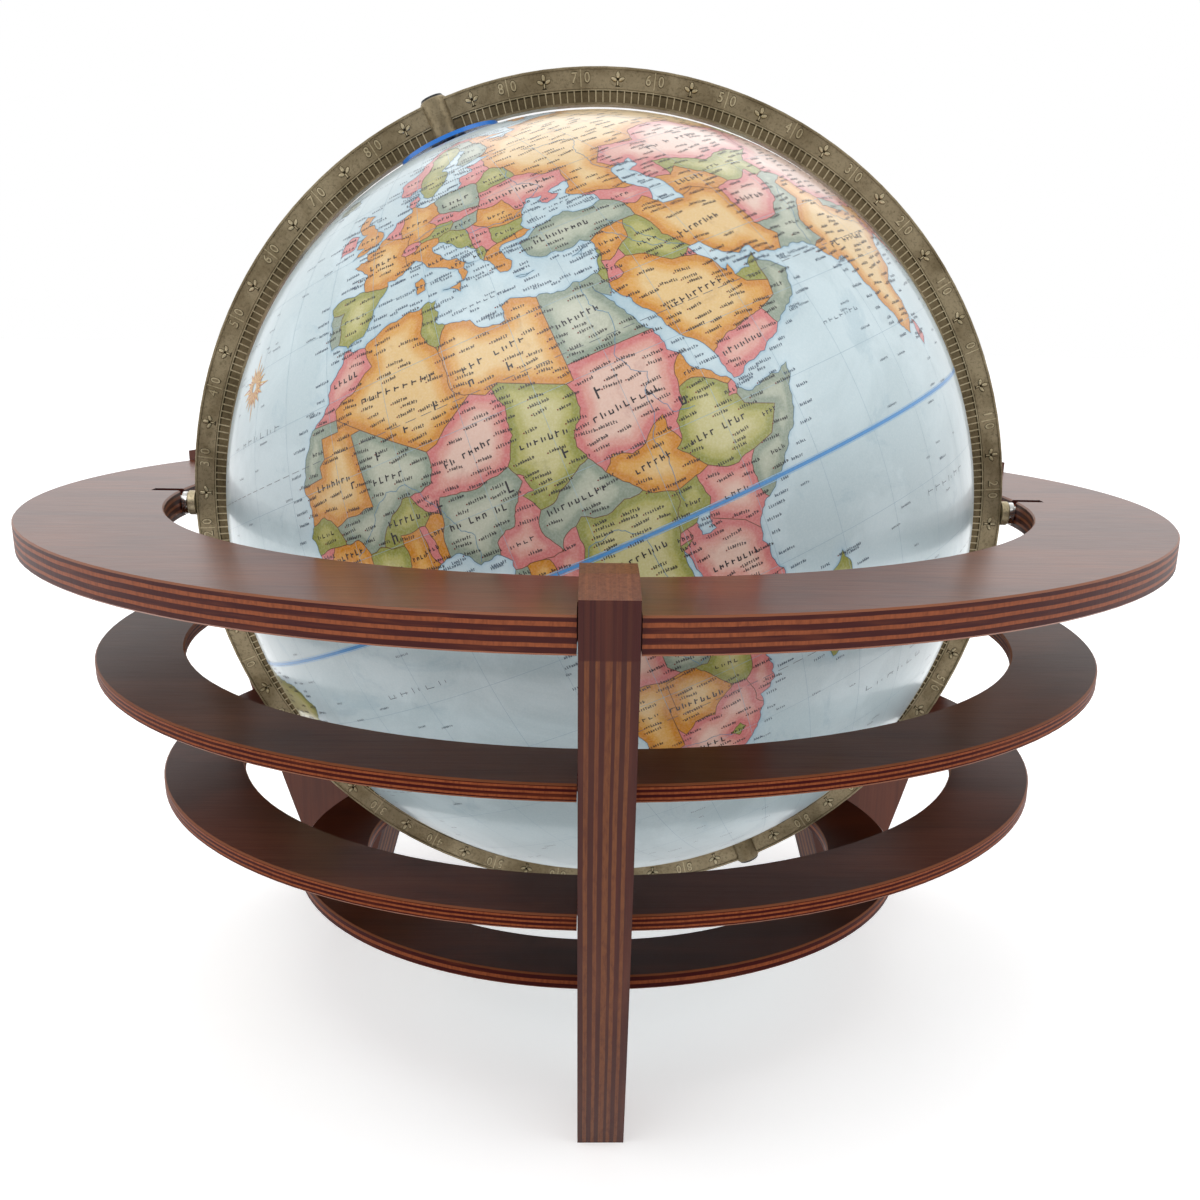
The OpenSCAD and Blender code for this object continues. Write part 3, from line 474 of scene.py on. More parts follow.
BORDERS = """
-2.1,35.1 -1.7,33.2 -1.2,32.2 -3.6,31 -5.3,29.8 -8.7,28.7 -8.7,27.5
! -8.7,27.5 -13.2,27.7
! -8.7,27.5 -8.7,26 -12,26 -12,23.4 -13.1,22.7 -13,21.3 -17,21
! -8.7,27.5 -4.8,25
! -4.8,25 1.2,21.1 3.2,19.8 4.2,19.1
! 4.2,19.1 5.8,19.5 7.5,20.9 12,23.5
12,23.5 9.9,24.8 9.8,26.5 9.8,29 9.5,30.2
9.5,30.2 7.6,33.5 8.4,35.3 8.6,36.9
9.5,30.2 10.3,31.8 11.5,33.2
! 25,31.6 24.9,30 25,22
! 25,22 31.3,22 36.9,22
! 25,22 25,20 24,19.9
! 24,19.9 16,23.4 15,23
! 15,23 14,22.6 12,23.5
15,23 15.9,20.4 15.5,16.9 13.6,13.7
13.6,13.7 12,13.2 9.6,12.8 7,13.1 4.1,13.5 3.6,11.7
3.6,11.7 2.4,12.2
2.4,12.2 1,13.4 .2,14.9
.2,14.9 3.5,15.4 4.2,16.8 4.2,19.1
! -4.8,25 -6.5,24.9 -5.5,15.5
-5.5,15.5 -9.5,15.4 -12.2,14.8
-12.2,14.8 -14.2,16.6 -16.5,16
-12.2,14.8 -11.4,12.4
-11.4,12.4 -13.7,12.6
-13.7,12.6 -16.7,12.3
-13.7,12.6 -14.8,10.9
-11.4,12.4 -9.3,12.4 -8,10.2
-8,10.2 -8,8.5 -8.4,7.6
-8.4,7.6 -10.3,8.5
-10.3,8.5 -11.4,6.9
-10.3,8.5 -11.2,10 -12.5,9.9 -13.3,9
-8.4,7.6 -7.5,5.8 -7.5,4.4
-8,10.2 -6.2,10.6 -5.5,10.4
-5.5,10.4 -4,9.8 -2.8,9.7
-2.8,9.7 -2.5,8.2 -3.2,6.3 -3.1,5.1
-5.5,10.4 -4.4,12.5 -3,13.7 -1,15 .2,14.9
-2.8,9.7 -2.8,11 0,11.1
0,11.1 .4,8.8 .6,6.9 1.2,6.1
0,11.1 .9,11
.9,11 1.5,9 1.6,6.9 1.6,6.2
.9,11 2.4,12.2
3.6,11.7 2.8,9 2.7,7.9 2.7,6.4
13.6,13.7 14.2,12.5
14.2,12.5 14.6,11.5 13.2,9.5 12.2,8.2 11.7,7 10.5,7 9,6 8.8,4.5
14.2,12.5 15,12 15.5,10 14,9.9 15.4,7.6
15.4,7.6 14.5,5.9 14.7,4.6 16.1,2.2
16.1,2.2 13.2,2.2
13.2,2.2 11.3,2.2 9.8,2.3
11.3,2.2 11.3,1 9.4,1
13.2,2.2 14.1,1.9 14.4,-.5 14,-2.4 12.5,-2.2 11.1,-3.9
16.1,2.2 16.6,3.5 18.5,4.3
18.5,4.3 17.8,0 16.2,-2.2 15.3,-4.3 13.2,-4.7 12.2,-5.8
18.5,4.3 19.5,5.1 22.4,4.1 25,5 27.4,5.1
27.4,5.1 26.3,6.5 24.2,8.7
24.2,8.7 23.6,9.9 22.9,11
22.9,11 21.7,10.6 19,9 17.6,8 15.4,7.6
22.9,11 22.2,12.7 22.5,14.2 24,15.7 24,19.9
24.2,8.7 25.8,10.3 28,9.4 30,10 32.4,11.8 33.2,12.2 33.1,10.7 34.1,8.6
34.1,8.6 34.4,10.8 36.2,12.7 36.5,14.3
36.5,14.3 36.9,16.3 37.6,17.3 38.6,18
36.5,14.3 39,14.6 41,13.6 42.4,12.4
42.4,12.4 43.1,12.7
42.4,12.4 41.8,11 42.9,10.9
42.9,10.9 43.3,11.5
! 42.9,10.9 43.3,9.5 47,8 45,5 42,4.2
42,4.2 41,2.9 41,-.9 41.6,-1.7
42,4.2 39.5,3.5 38,3.6 35.8,4.7
35.8,4.7 35,5.7 33.1,7.9 34.1,8.6
35.8,4.7 34,4.2
34,4.2 30.9,3.5
30.9,3.5 28.5,4.3 27.4,5.1
30.9,3.5 31,2.2 29.9,.5 29.6,-1.3
34,4.2 34.6,1.2 34,.1
31.9,-.9 30.5,-1.1
30.5,-1.1 29.6,-1.3
30.5,-1.1 30.8,-2.4
30.8,-2.4 29,-2.7
29,-2.7 29.6,-1.3
30.8,-2.4 29.2,-3.4
29.2,-3.4 29,-2.7
31,-8.6 32.9,-9.4
! 33.9,-1.2 37.6,-3 39.2,-4.7
32.9,-9.4 34,-9.7
34.8,-11.6 37.5,-11.7 40.4,-10.5
34.9,-14 35.8,-14.6 35.3,-17.1 34.3,-15 33.2,-14
33.2,-14 33.3,-12.5 32.9,-9.4
33.2,-14 30.2,-15 30.4,-15.9
30.4,-15.9 28.8,-16 27,-17.9 25.3,-17.8
25.3,-17.8 23.4,-17.6
! 23.4,-17.6 22,-16.2 22,-13 24,-12.9 24,-10.9
24,-10.9 25.5,-11.2 28.4,-12.5 29.6,-13.4 29.8,-12.2 28.5,-11.9 28.4,-9.3 28.9,-8.5 30.4,-8.5
24,-10.9 22.3,-11 21.8,-7.3 19.5,-7 17.5,-8.1 16.3,-5.9 12.3,-6.1
! 23.4,-17.6 21,-18 18.5,-17.4 14,-17.4 11.8,-17.3
! 25.3,-17.8 21,-18.3 21,-22 20,-22 20,-24.8
! 20,-24.8 20,-28.4 18,-28.9 16.5,-28.6
20,-24.8 20.8,-26.8 22.7,-25.4 25.6,-25.6 27,-23.7 29.4,-22.2
29.4,-22.2 27.7,-20.5 25.3,-17.8
29.4,-22.2 31.3,-22.4
31.3,-22.4 32.5,-21.3 32.9,-18.5 32.9,-16.7 30.4,-15.9
31.3,-22.4 32,-24.3 31.9,-25.9 32.9,-26.9
27,-29.7 28.7,-28.6 29.4,-29.5 28.1,-30.6 27,-29.7
34.2,31.3 34.9,29.5
34.9,29.5 37.5,30 37,31.5 39.1,32.1
39.1,32.1 38.8,33.4
38.8,33.4 36.8,32.3 35.6,32.7
35.6,32.7 36.3,34.2 35.9,34.6
35.6,32.7 35.5,31 34.9,29.5
35.9,36 38,36.8 42.3,37.2
42.3,37.2 41.2,34.5 38.8,33.4
42.3,37.2 44.6,37.2
44.6,37.2 44.5,39.5
44.5,39.5 43.6,40.5 41.5,41.5
44.6,37.2 45.5,35.9 46,33 47.7,31 48.5,30
39.1,32.1 42,31.2 44.7,29.2 46.5,29.1
46.5,29.1 48,29.9
46.5,29.1 48.5,28.5
42.7,16.4 44,17.4 48,18.2 52,19
52,19 53.1,16.6
! 52,19 55,20 55.7,22
55.7,22 56,24.8 56.3,26.2
! 55.7,22 52.6,22.9 51.6,24.2
39.5,43.6 43.5,42.9 46.5,41.9 48.5,41.8
49,38.4 48,39.6 46,38.9 44.5,39.5
54,37.4 57,38.2 61.1,36.6
61.1,36.6 60.6,34 61,31.4 60.9,29.8
60.9,29.8 63.2,27.2 61.5,25.1
60.9,29.8 66.3,29.9 69.3,31.9 71.1,34.3 71.6,36.5 74.6,37.1
61.1,36.6 64.5,37.2
64.5,37.2 68,37 71,38.3 71.6,36.8 74.6,37.1
64.5,37.2 62.4,39.9 58.5,42.7 56,41.3
56,41.3 52.7,41.8
56,41.3 56,45 61,44 66,42 71,42.8 80.2,42.2
80.2,42.2 74,40 74.6,37.1
49.2,46.3 47,48.2 51,51.6 59,50.6 61.5,53 71,54.2 77,53.4 80,50.8 87.3,49.1
87.3,49.1 82.8,45.4 80.2,42.2
68.2,23.7 71,24.4 70,27.8 74.5,31 74,34.5 77.5,35.5
77.5,35.5 74.6,37.1
77.5,35.5 79,32 81,30.2
81,30.2 84,29.2 88.1,27.9
81,30.2 80.1,28.8 84,27.4 88.1,26.4 88.1,27.9
88.1,27.9 92,27.6 97.3,28.2
97.3,28.2 95,26 93.3,23.5 92.4,22.6
88.9,21.7 88.7,24.3 89.8,25.8 92.4,25 91.3,23.5 92.4,22.6
92.4,22.6 92.3,20.8
97.3,28.2 98.6,27.5 97.7,24.4 101.2,21.5
101.2,21.5 100.2,20.4
100.2,20.4 97.5,18.5 98.7,15.5 98.6,10
100.2,20.4 101,18 104.7,17.4 105.5,14.5 102.5,12
101.2,21.5 105,23 108,21.5
87.3,49.1 91,45.3 96.5,42.8 105,41.6 112,43.6 119.8,46.8 116,49.8
87.3,49.1 98,50.5 102,51.3 107,49.8 116,49.8
116,49.8 120,52.8 126,52.8 131,47.8 135,48.4 131.3,44.9 130.6,42.3
124.3,39.9 128,42 130.6,42.3
3.1,42.4 .7,42.8 -1.8,43.4
-7.4,37.2 -7,38.2 -7,40 -6.2,41.6 -8.8,41.9
7.5,43.8 7,45.2 6.9,45.9
6.9,45.9 6.1,46.4 7.6,47.6
7.6,47.6 8.2,49 6.4,49.5
6.4,49.5 4.2,50.2 2.5,51.1
6.4,49.5 6.1,51 7,52.4 7,53.5
7.6,47.6 9.6,47.5
9.6,47.5 10.4,46.9
10.4,46.9 9,46 6.9,45.9
10.4,46.9 12.4,46.8 13.7,46.5
13.7,46.5 13.6,45.6
9.6,47.5 12.2,47.6 13.8,48.8
13.8,48.8 12.3,50.2 14.9,50.9
14.9,50.9 14.7,52.5 14.2,53.9
14.9,50.9 17,50.3 18.8,49.5 22.6,49.1
13.8,48.8 16.9,48.6 17.1,48
17.1,48 20,48.2 22.2,48.4
22.2,48.4 22.6,49.1
22.6,49.1 23.6,51.5
23.6,51.5 23.9,53.9
23.9,53.9 22.8,54.4 19.8,54.4
23.9,53.9 26.6,55.7 28.2,56.2
28.2,56.2 27.5,57.5 28,59.6
28.2,56.2 31,55 31.8,52.1
31.8,52.1 27,51.7 23.6,51.5
31.8,52.1 34.4,51.5 36,50.3 40,49.6 39.3,47
22.2,48.4 24.9,47.8 27,48.3 28.2,45.5 29.7,45.3
22.2,48.4 21.2,46.3 20.3,46.1
17.1,48 16.1,46.9
13.7,46.5 16.1,46.9
16.1,46.9 18.8,45.9
18.8,45.9 20.3,46.1
20.3,46.1 22.5,44.6 22.7,44.2
22.7,44.2 25.5,43.7 28.6,43.8
22.7,44.2 22.4,42.3 23,41.3
23,41.3 26.3,41.7
26.3,41.7 28,41.9
26.3,41.7 26.2,40.7
23,41.3 21,40.8
21,40.8 20,39.6
21,40.8 20.5,42 19.4,41.9
18.8,45.9 19.2,43.5 19.4,41.9
11.3,59 12.2,62 14.5,66 20.5,69.1
20.5,69.1 23.7,67.9 24.2,65.8
20.5,69.1 25.8,69.5 28.9,69.1
28.9,69.1 30.8,69.8
28.9,69.1 29,66.9 31.5,62.9 27.8,60.6
8.7,54.9 9.6,54.9
! -141,69.7 -141,60.2
-141,60.2 -135,59.5 -130,55.5
! -123,49 -95,49
-95,49 -88,48 -83,46 -82.5,42 -76,44 -71,45.2 -68,47.3 -67,44.8
-117.2,32.6 -111,31.3 -106.5,31.8 -103,29 -99.5,27.5 -97.2,26
-92.3,14.5 -91.5,16 -91,17.8 -89.2,17.8 -88.2,18.4
-77.9,7.3 -76.9,8.5
-71.4,12 -72.4,8 -67.5,6 -67,1.2
-67,1.2 -64,2 -60.7,5
-60.7,5 -60,8.5
-60.7,5 -59.8,1.5 -54.5,2.3 -51.5,4.2
-67,1.2 -70,-4.2
-70,-4.2 -75,-.2
-75,-.2 -78.8,1.4
-75,-.2 -78,-4 -80.3,-3.4
-70,-4.2 -73.5,-7.5 -70.6,-11
-70.6,-11 -69,-14 -69.5,-17.6
-69.5,-17.6 -70.4,-18.3
-70.6,-11 -65.3,-10 -60.5,-13.8 -58,-16.5 -58,-20
-58,-20 -62.5,-22.2
-62.5,-22.2 -67.2,-22.8
-67.2,-22.8 -69.5,-17.6
-58,-20 -55.8,-22.3 -54.6,-25.6
-54.6,-25.6 -58.5,-27.2 -57.7,-25.3 -62.5,-22.2
-54.6,-25.6 -57.6,-30.2
-57.6,-30.2 -53.5,-33.8
-57.6,-30.2 -58.4,-34
-67.2,-22.8 -69,-28 -70,-33 -71.5,-39 -72,-48 -70,-52 -66.5,-55
! 129,-31.7 129,-14.9
"""
# lon, lat and tint of each country: o orange, p pink, y yellow-green, g grey-green, w ice
SEEDS = """
-30,0,E 70,-20,E -150,0,E 18,34.3,E 35,43.2,E 38,20,E 51,41.5,E
-6,32,p 2.5,28,o 9.5,34.5,y 17.5,27,o 29,27,g -13,24.5,g -11,20,o -2,18,g 10,17,p 19,15,y 30,15,p 30,7.5,o 20,7,g 12,5,p 8,9.5,g 39,8,y 39,15.6,o 42.6,11.6,p 46,7.5,g 45,3,g 38,.5,p 32.5,1.5,y 30,-2,p 30,-3,o 35,-7,o 24,-2,y 15,-1,p 11.5,-1,o 10.5,1.6,g 17.5,-12,p 26,-14,g 33.8,-13,o 37,-15,p 29.5,-19,y 24,-22.5,o 17,-22,o 23,-30,p 28.2,-29.6,y 46.5,-20,y
-14.5,14.5,y -15,11.8,p -11.3,11,o -12,8.5,p -9.5,6.5,g -5.5,7.5,y -1.5,12.5,y -1.2,7.8,o .8,8.2,p 2.3,9.8,o
45,24,o 47,16,p 56.5,21,g 54.5,23.3,y 47.5,29.2,p 43.5,33,y 38.5,35,o 36.8,31.2,p 35.2,31.8,y 33,39,g 45,41,p 53,32.5,o 58.5,39.5,o 65,40.5,y 67,48,p 65,33.5,p 68,28,g 78,23,o 84,28.2,g 90,24.5,p 96,21,p 101,15.5,g 105.5,18,o 105,33,p 103,46,y 126.8,40,y 127.5,37,o 100,62,o 30,46,p 80.9,7.6,p
-3.5,40,y -8,39.5,g 2.5,46.8,o 4.8,50.8,p 10,51,o 8.3,46.8,p 14.5,47.4,y 12.5,42.8,o 16.2,40.9,o 16,49.6,p 19,52,g 19,47.1,g 25,46,o 25,42.7,y 31,49,p 28,53.5,y 25,56.2,p 22,39.8,o 20.1,40.9,y 21,44,p 16.8,45.2,y 9.3,56,p 16,63,y 9,61.5,p 26,64,g
-1.5,52.5,o -8,53,p -18.5,65,g 14.3,37.5,o 9,40,o 25,35.15,o 33.2,35.1,y 137,36,o 143,43.5,o 101,0,p 114,1,p 110,-7.2,p 120.7,-4,p 145,-6,g 121.3,16.5,g 125.5,7.6,g 120.9,24,p 122,-25,o 140,-25,o 146.7,-42,o 175.7,-39,p 170.5,-44,p
-150,65,y -105,60,p -100,40,y -103,24,o -85.5,12.8,g -74,4,o -65,7,p -56.5,4.5,g -78.5,-1.5,y -75.5,-10,g -50,-10,y -64.5,-17,o -58.5,-23.3,p -66,-38,p -70.8,-30,o -56,-32.8,o -79,21.9,p -71,18.9,o -42,72,w -71,67,p -110,71,p -78,80,p -56,49,p 60,74,o 18,78.7,p 0,-82,w
32.9,-1.2,s 29.5,-5,s 34.5,-12,s
"""


def lines_of(text):
    out = []
    for row in text.strip().split("\n"):
        straight = row.startswith("!")
        out.append((straight, [tuple(float(c) for c in p.split(",")) for p in row.replace("!", "").split()]))
    return out


def roughen(pts, amp, rng, step=0.8):
    """Midpoint displacement, so that an outline of few points reads as a natural one."""
    out = [pts[0]]

    def go(a, b, depth):
        dx, dy = b[0] - a[0], b[1] - a[1]
        k = math.cos(math.radians((a[1] + b[1]) / 2))
        ln = math.hypot(dx * k, dy)
        if ln < step or depth > 6:
            out.append(b)
            return
        s = rng.uniform(-amp, amp)
        m = ((a[0] + b[0]) / 2 - dy * s / max(k, 0.2), (a[1] + b[1]) / 2 + dx * k * s)
        go(a, m, depth + 1)
        go(m, b, depth + 1)

    for a, b in zip(pts, pts[1:]):
        go(a, b, 0)
    return out


RNG = random.Random(11)
COAST_LINES = [roughen(p, 0.16, RNG) for _, p in lines_of(COASTS)]
BORDER_LINES = [roughen(p, 0.0 if s else 0.10, RNG) for s, p in lines_of(BORDERS)]

# ---------------------------------------------------------------- the map as surface
R_MAP = 0.15246
R_LINE = 0.15251
LAT_MAX = 87.5


def on_ball(lon, lat, r=R_MAP):
    lo, la = math.radians(lon) + SPIN, math.radians(lat)
    v = Vector((math.cos(la) * math.cos(lo), math.cos(la) * math.sin(lo), math.sin(la)))
    return POLAR @ v * r + CENTRE


def sphere_normals(o):
    """Exact ball normals, so that the gloss runs clean over the small triangles."""
    me = o.data
    me.shade_smooth()
    co = np.zeros(len(me.vertices) * 3)
    me.vertices.foreach_get("co", co)
    n = co.reshape(-1, 3) - np.array(CENTRE)
    n /= np.linalg.norm(n, axis=1)[:, None]
    me.normals_split_custom_set_from_vertices([tuple(v) for v in n])


def unit(lon, lat):
    lo, la = math.radians(lon), math.radians(lat)
    return Vector((math.cos(la) * math.cos(lo), math.cos(la) * math.sin(lo), math.sin(la)))


from mathutils.kdtree import KDTree


def build_map():
    pts, edges = [], []
    for line in COAST_LINES + BORDER_LINES:
        base = len(pts)
        for i, (lo, la) in enumerate(line):
            pts.append((max(-179.9, min(179.9, lo)), max(-LAT_MAX, min(LAT_MAX, la))))
            if i:
                edges.append((base + i - 1, base + i))
    # every outline, sampled closely, for the tint along it
    dense = []
    for line in COAST_LINES + BORDER_LINES:
        for a, b in zip(line, line[1:]):
            n = max(1, int(math.hypot(b[0] - a[0], b[1] - a[1]) / 0.35))
            for k in range(n):
                t = k / n
                dense.append((a[0] + (b[0] - a[0]) * t, a[1] + (b[1] - a[1]) * t))
    tree = KDTree(len(dense))
    for i, d in enumerate(dense):
        tree.insert(unit(*d), i)
    tree.balance()
    vs = [Vector(p) for p in pts]
    la = -LAT_MAX
    row = 0
    while la < LAT_MAX + 0.01:
        n = max(24, int(round(360 * math.cos(math.radians(la)) / 1.0)))
        for k in range(n + 1):
            off = 0.5 if (row % 2 and 0 < k < n) else 0.0
            lo = -180 + 360 * (k - off) / n
            if 0 < k < n:
                d = tree.find(unit(lo, la))[2]
                if d < math.radians(0.28):
                    continue
            vs.append(Vector((lo, la)))
        la += 1.0
        row += 1
    # two more rows of points near each outline give the tint a smooth fall
    for i in range(0, len(dense), 2):
        lo, lt = dense[i]
        for dx, dy in ((0.5, 0.0), (-0.5, 0.0), (0.0, 0.5), (0.0, -0.5)):
            q = (lo + dx / max(0.3, math.cos(math.radians(lt))), lt + dy)
            if abs(q[0]) > 179 or abs(q[1]) > 84:
                continue
            if tree.find(unit(*q))[2] > math.radians(0.42):
                vs.append(Vector((round(q[0] * 4) / 4, round(q[1] * 4) / 4)))
    ov, oe, of, _, eo, _ = delaunay_2d_cdt(vs, edges, [], 0, 1e-5)
    wall = {tuple(sorted(e)) for e, src in zip(oe, eo) if len(src)}
    tri = [tuple(f) for f in of]
    side = {}
    for i, f in enumerate(tri):
        for a, b in ((f[0], f[1]), (f[1], f[2]), (f[2], f[0])):
            side.setdefault((a, b) if a < b else (b, a), []).append(i)
    region = [-1] * len(tri)
    count = 0
    near = [[] for _ in tri]
    for e, fs in side.items():
        if len(fs) == 2 and e not in wall:
            near[fs[0]].append(fs[1])
            near[fs[1]].append(fs[0])
    for i in range(len(tri)):
        if region[i] >= 0:
            continue
        stack = [i]
        region[i] = count
        while stack:
            j = stack.pop()
            for k in near[j]:
                if region[k] < 0:
                    region[k] = count
                    stack.append(k)
        count += 1
    co = np.array([tuple(v) for v in ov])
    t = np.array(tri)
    A, B, C = co[t[:, 0]], co[t[:, 1]], co[t[:, 2]]
    cross = lambda u, v: u[:, 0] * v[:, 1] - u[:, 1] * v[:, 0]
    tint = {}
    for s in SEEDS.split():
        lo, lt, c = s.split(",")
        P = np.array([[float(lo), float(lt)]])
        c1, c2, c3 = cross(B - A, P - A), cross(C - B, P - B), cross(A - C, P - C)
        hit = np.nonzero(((c1 >= 0) & (c2 >= 0) & (c3 >= 0)) | ((c1 <= 0) & (c2 <= 0) & (c3 <= 0)))[0]
        if len(hit):
            tint.setdefault(region[int(hit[0])], c)
    sizes = {}
    for r in region:
        sizes[r] = sizes.get(r, 0) + 1
    # slivers between crossing outlines take a neighbour's tint
    for _ in range(3):
        for e, fs in side.items():
            if len(fs) == 2:
                a, b = region[fs[0]], region[fs[1]]
                for x, y in ((a, b), (b, a)):
                    if x not in tint and sizes[x] < 30 and y in tint:
                        tint[x] = tint[y]
    kinds = "oypgwsE"
    verts, face_list, mats = [], [], []
    for lo, lt in co:
        verts.append(on_ball(lo, lt))
    slot = {"E": 0, "o": 1, "p": 2, "y": 3, "g": 4, "w": 5, "s": 0}
    flip = (cross(B - A, C - A) < 0)
    area = np.abs(cross(B - A, C - A))
    used = []
    for i, f in enumerate(tri):
        if area[i] < 1e-7:
            continue
        face_list.append((f[0], f[2], f[1]) if flip[i] else f)
        mats.append(slot[tint.get(region[i], "E")])
    o = mesh_object("map_paper", verts, face_list, MAP_MATS)
    me = o.data
    me.polygons.foreach_set("material_index", mats)
    at = me.attributes.new("border_mm", "FLOAT", "POINT")
    at.data.foreach_set("value", [min(9.0, tree.find(unit(*p))[2] * 152.4) for p in co])
    bm = bmesh.new()
    bm.from_mesh(me)
    bmesh.ops.remove_doubles(bm, verts=[v for v, p in zip(bm.verts, co) if abs(p[0]) > 179.95], dist=1e-6)
    bm.to_mesh(me)
    bm.free()
    sphere_normals(o)
    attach(o, "globe")
    print("MAP faces", len(me.polygons), "regions", count, "tinted", len(tint))
    return o


def paper(name, centre, mid, edge, wet=False):
    """Printed map paper: a deeper tint along the outline, relief shading, fibres and a gloss varnish."""
    m, nt, b = material(name, rough=0.30, spec=0.5, coat=0.5, coat_rough=0.12, colour=mid)
    obj = node(nt, "TexCoord").outputs["Object"]
    d = node(nt, "Attribute", attribute_name="border_mm").outputs["Fac"]
    if wet:
        col = ramp(nt, mth(nt, "DIVIDE", d, 9.0), [(0.0, edge), (0.12, mid), (0.55, centre), (1.0, centre)])
        shelf = noise(nt, obj, 24, 5, 0.62, 0.6)
        col = mix(nt, smooth(nt, shelf, 0.42, 0.62, 0.0, 0.5), col, lin(214, 232, 238))
        ridge = noise(nt, stretched(nt, obj, 30, 30, 30), 1.0, 7, 0.72, 1.4)
        col = mix(nt, smooth(nt, ridge, 0.56, 0.66, 0.0, 0.28), col, lin(150, 182, 196))
    else:
        col = ramp(nt, mth(nt, "DIVIDE", d, 9.0), [(0.0, edge), (0.16, edge), (0.36, mid), (0.75, centre), (1.0, centre)], "EASE")
        hills = noise(nt, obj, 70, 7, 0.7, 1.1)
        col = mix(nt, smooth(nt, hills, 0.55, 0.72, 0.0, 0.30), col, tuple(v * 0.55 for v in edge[:3]) + (1.0,))
        col = mix(nt, smooth(nt, hills, 0.30, 0.42, 0.25, 0.0), col, centre)
    fib = noise(nt, obj, 1500, 2, 0.5)
    col = mix(nt, smooth(nt, fib, 0.3, 0.8, 0.0, 0.10), col, lin(255, 255, 255))
    nt.links.new(col, b.inputs["Base Color"])
    nt.links.new(mth(nt, "ADD", mth(nt, "MULTIPLY", fib, 0.1), 0.25), b.inputs["Roughness"])
    bump(nt, b, fib, 0.05, 0.00005)
    return m


MAP_MATS = [
    paper("map_ocean", lin(188, 208, 214), lin(182, 205, 214), lin(150, 184, 202), True),
    paper("map_orange", lin(226, 192, 132), lin(216, 160, 72), lin(202, 132, 26)),
    paper("map_pink", lin(226, 192, 176), lin(216, 154, 142), lin(206, 118, 116)),
    paper("map_green", lin(200, 194, 138), lin(176, 172, 96), lin(144, 146, 62)),
    paper("map_grey", lin(192, 196, 176), lin(172, 180, 160), lin(138, 152, 134)),
    paper("map_ice", lin(232, 232, 228), lin(222, 224, 220), lin(196, 206, 208)),
]


def ink(name, colour, rough=0.34):
    m, nt, b = material(name, rough=rough, coat=0.4, coat_rough=0.12, colour=colour)
    obj = node(nt, "TexCoord").outputs["Object"]
    g = noise(nt, obj, 1400, 2, 0.5)
    nt.links.new(mix(nt, smooth(nt, g, 0.3, 0.8, 0.0, 0.25), colour, tuple(min(1, v * 1.5 + 0.02) for v in colour[:3]) + (1.0,)), b.inputs["Base Color"])
    nt.links.new(mth(nt, "ADD", mth(nt, "MULTIPLY", g, 0.1), rough - 0.05), b.inputs["Roughness"])
    return m


INK = ink("ink_dark", lin(48, 44, 50))
INK_SOFT = ink("ink_soft", lin(96, 104, 116))
INK_BORDER = ink("ink_border", lin(112, 78, 56))
INK_COAST = ink("ink_coast", lin(78, 112, 134))
INK_GRID = ink("ink_grid", lin(150, 178, 192))
INK_EQ = ink("ink_equator", lin(84, 146, 204))
INK_EQ2 = ink("ink_equator_pale", lin(150, 192, 226))


def ribbons(name, lines, width, r, m, dash=None):
    """Flat printed lines on the ball. lines are lists of lon,lat; width in millimetres."""
    w = math.degrees(width / 2 / 152.4)
    verts, faces = [], []
    for line in lines:
        pv = [unit(*p) for p in line]
        base = None
        for i, p in enumerate(pv):
            a, b = pv[max(0, i - 1)], pv[min(len(pv) - 1, i + 1)]
            t = b - a
            if t.length < 1e-9:
                continue
            s = p.cross(t).normalized() * (width / 2 / 152.4)
            k = len(verts)
            for q in (p - s, p + s):
                q = Matrix.Rotation(SPIN, 3, "Z") @ q.normalized()
                verts.append(POLAR @ q * r + CENTRE)
            if base is not None and not (dash and i % dash == 0):
                faces.append((base, k, k + 1, base + 1))
            base = k
    o = mesh_object(name, verts, faces, [m])
    sphere_normals(o)
    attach(o, "globe")
    return o


def sweep(lo0, la0, lo1, la1, step=1.5):
    n = max(2, int(max(abs(lo1 - lo0), abs(la1 - la0)) / step) + 1)
    return [(lo0 + (lo1 - lo0) * k / (n - 1), la0 + (la1 - la0) * k / (n - 1)) for k in range(n)]


MAP = build_map()
keep = lambda ls: [[p for p in l if abs(p[1]) < 87 and abs(p[0]) < 179.6] for l in ls]
ribbons("map_coast_lines", keep(COAST_LINES), 0.20, R_LINE, INK_COAST)
ribbons("map_border_lines", keep(BORDER_LINES), 0.22, R_LINE + 0.00001, INK_BORDER)
grid = [sweep(-180, la, 180, la) for la in range(-80, 81, 10) if la] + [sweep(lo, -87, lo, 87) for lo in range(-180, 180, 10)]
ribbons("map_graticule", grid, 0.13, R_LINE - 0.00002, INK_GRID)
ribbons("map_equator", [sweep(-180, 0, 180, 0)], 1.15, R_LINE + 0.00002, INK_EQ)
ribbons("map_equator_edges", [sweep(-180, s * 0.33, 180, s * 0.33) for s in (-1, 1)], 0.25, R_LINE + 0.00003, INK_EQ2)
ribbons("map_tropics", [sweep(-180, s * 23.44, 180, s * 23.44, 0.8) for s in (-1, 1)] + [sweep(-180, s * 66.56, 180, s * 66.56, 0.8) for s in (-1, 1)], 0.18, R_LINE + 0.00001, INK_SOFT, dash=3)

# ---------------------------------------------------------------- meridian scale: raised ticks, numerals, trefoils
MID = math.radians(23.5)


def ring_place(theta, r, side, du=0.0, lift=0.0):
    """Point on a face of the meridian. theta runs from +X towards +Z, r in millimetres, du along the arc."""
    c, s = math.cos(theta), math.sin(theta)
    along = Vector((-s, 0, c)) if side > 0 else Vector((s, 0, -c))
    p = Vector((c, 0, s)) * r + along * du
    p.y = -side * (2.2 + lift)
    return RING @ (p / 1000) + CENTRE


